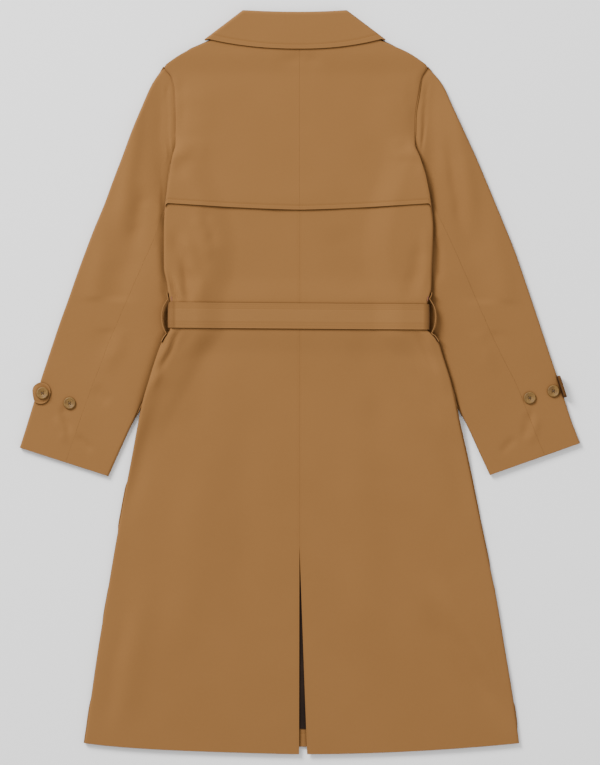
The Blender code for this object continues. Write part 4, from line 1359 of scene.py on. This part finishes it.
def horn_look():
    look = Look("horn_button", 0.45, specular=0.25)
    streaks = look.node(
        "ShaderNodeTexNoise", "Fac", Vector=look.place(), Scale=0.16, Detail=4.0, Distortion=1.6
    )
    horn = look.mix(streaks.between(0.35, 0.65), HORN, HORN_DARK)
    # painted shade in the button's hollows, from ambient occlusion
    look.set(Base_Color=look.painted_crevice_shade(horn, HORN_PAINTED_SHADE, 1.6))
    look.set(Roughness=0.42 + streaks * 0.15, Normal=look.bump(look.noise(1.5), 0.05, 0.3))
    return look.material


def thread_look(name, colour):
    look = Look(name, 0.75, sheen=0.2, specular=0.2)
    twist = (look.place(0) + look.place(1)).wave(0.6)
    look.set(Base_Color=look.mix(twist * 0.5, colour, tuple(part * 1.5 for part in colour)))
    look.set(Normal=look.bump(twist, 0.15, 0.8))
    return look.material


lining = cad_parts["front_lining"]
lining.data.materials.clear()
lining.data.materials.append(lining_look())
BUTTON_LOOK = horn_look()
THREAD_LOOK = thread_look("button_thread", BUTTON_THREAD)
TACK_LOOK = thread_look("tack_thread", TACK_THREAD)
for pieces, finish in ((BUTTONS, BUTTON_LOOK), (THREADS, THREAD_LOOK), (TACK_PIECES, TACK_LOOK)):
    for piece in pieces:
        piece.data.materials.append(finish)
print("lining, buttons and thread have their looks")

# %% [markdown]
# ## The table, the light and the camera
# A product picture of a coat laid flat has no hard shadows. The floor is a plain pale sheet, the
# world is a bright even dome, and one large soft panel from the upper left gives the creases
# their shading, with a weak one from the right to soften it. The camera hangs straight above the
# coat with a long lens, as the photo shows no perspective.

# %% Stage
FLOOR_SIZE = 12.0
FLOOR_GAP = 0.0005
FLOOR_COLOUR = (0.97, 0.97, 0.97, 1.0)
DOME_STRENGTH = 0.78
floor_mesh = bmesh.new()
bmesh.ops.create_grid(floor_mesh, x_segments=1, y_segments=1, size=FLOOR_SIZE / 2.0)
floor = add_object("floor", floor_mesh)
floor.location.z = -FLOOR_GAP
floor_finish = bpy.data.materials.new("pale_floor")
floor_finish.use_nodes = True
floor_shader = floor_finish.node_tree.nodes["Principled BSDF"]
floor_shader.inputs["Base Color"].default_value = FLOOR_COLOUR
floor_shader.inputs["Roughness"].default_value = 0.9
floor_shader.inputs["Specular IOR Level"].default_value = 0.0
floor.data.materials.append(floor_finish)
floor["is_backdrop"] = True

world = bpy.data.worlds.new("studio")
world.use_nodes = True
dome = world.node_tree.nodes["Background"]
dome.inputs["Color"].default_value = (1.0, 1.0, 1.0, 1.0)
dome.inputs["Strength"].default_value = DOME_STRENGTH
bpy.context.scene.world = world


def area_light(name, place, aim, size, power):
    data = bpy.data.lights.new(name, "AREA")
    data.shape = "RECTANGLE"
    data.size, data.size_y = size
    data.energy = power
    light = bpy.data.objects.new(name, data)
    light.location = place
    light.rotation_euler = (Vector(aim) - Vector(place)).to_track_quat("-Z", "Y").to_euler()
    bpy.context.collection.objects.link(light)


area_light(
    "key_panel", place=(-2.8, 3.3, 3.2), aim=(0.0, -0.4, 0.0), size=(2.2, 2.2), power=450.0
)
area_light(
    "fill_panel", place=(2.4, -0.8, 2.0), aim=(0.0, 0.0, 0.0), size=(1.8, 2.4), power=20.0
)
print("stage:", floor.name, "and", len(bpy.data.lights), "lights")

# %% Camera
PHOTO_WIDTH_PX = 600.0
PHOTO_HEIGHT_PX = 765.0
MM_PER_PX = 1.5
SEAM_PX, FOLD_PX = 299.5, 10.0
PHOTO_MIDDLE_ACROSS = (PHOTO_WIDTH_PX / 2.0 - SEAM_PX) * MM_PER_PX
PHOTO_MIDDLE_DOWN = (PHOTO_HEIGHT_PX / 2.0 - FOLD_PX) * MM_PER_PX
LENS = 180.0
SENSOR = 36.0
CLOTH_LEVEL = 0.008
camera_data = bpy.data.cameras.new("camera")
camera_data.lens = LENS
camera_data.sensor_width = SENSOR
camera_data.sensor_fit = "AUTO"
camera = bpy.data.objects.new("camera", camera_data)
bpy.context.collection.objects.link(camera)
aim = in_frame(PHOTO_MIDDLE_ACROSS, PHOTO_MIDDLE_DOWN, 0.0)
distance = PHOTO_HEIGHT_PX * MM_PER_PX * MM * LENS / SENSOR
camera.location = (aim.x, aim.y, CLOTH_LEVEL + distance)
camera_data.clip_start = 0.1
camera_data.clip_end = 50.0
bpy.context.scene.camera = camera
print("camera at", [round(value, 3) for value in camera.location])

# %% Print the size
low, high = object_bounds()
print("dressed", [round(v, 4) for v in (*low, *high)])
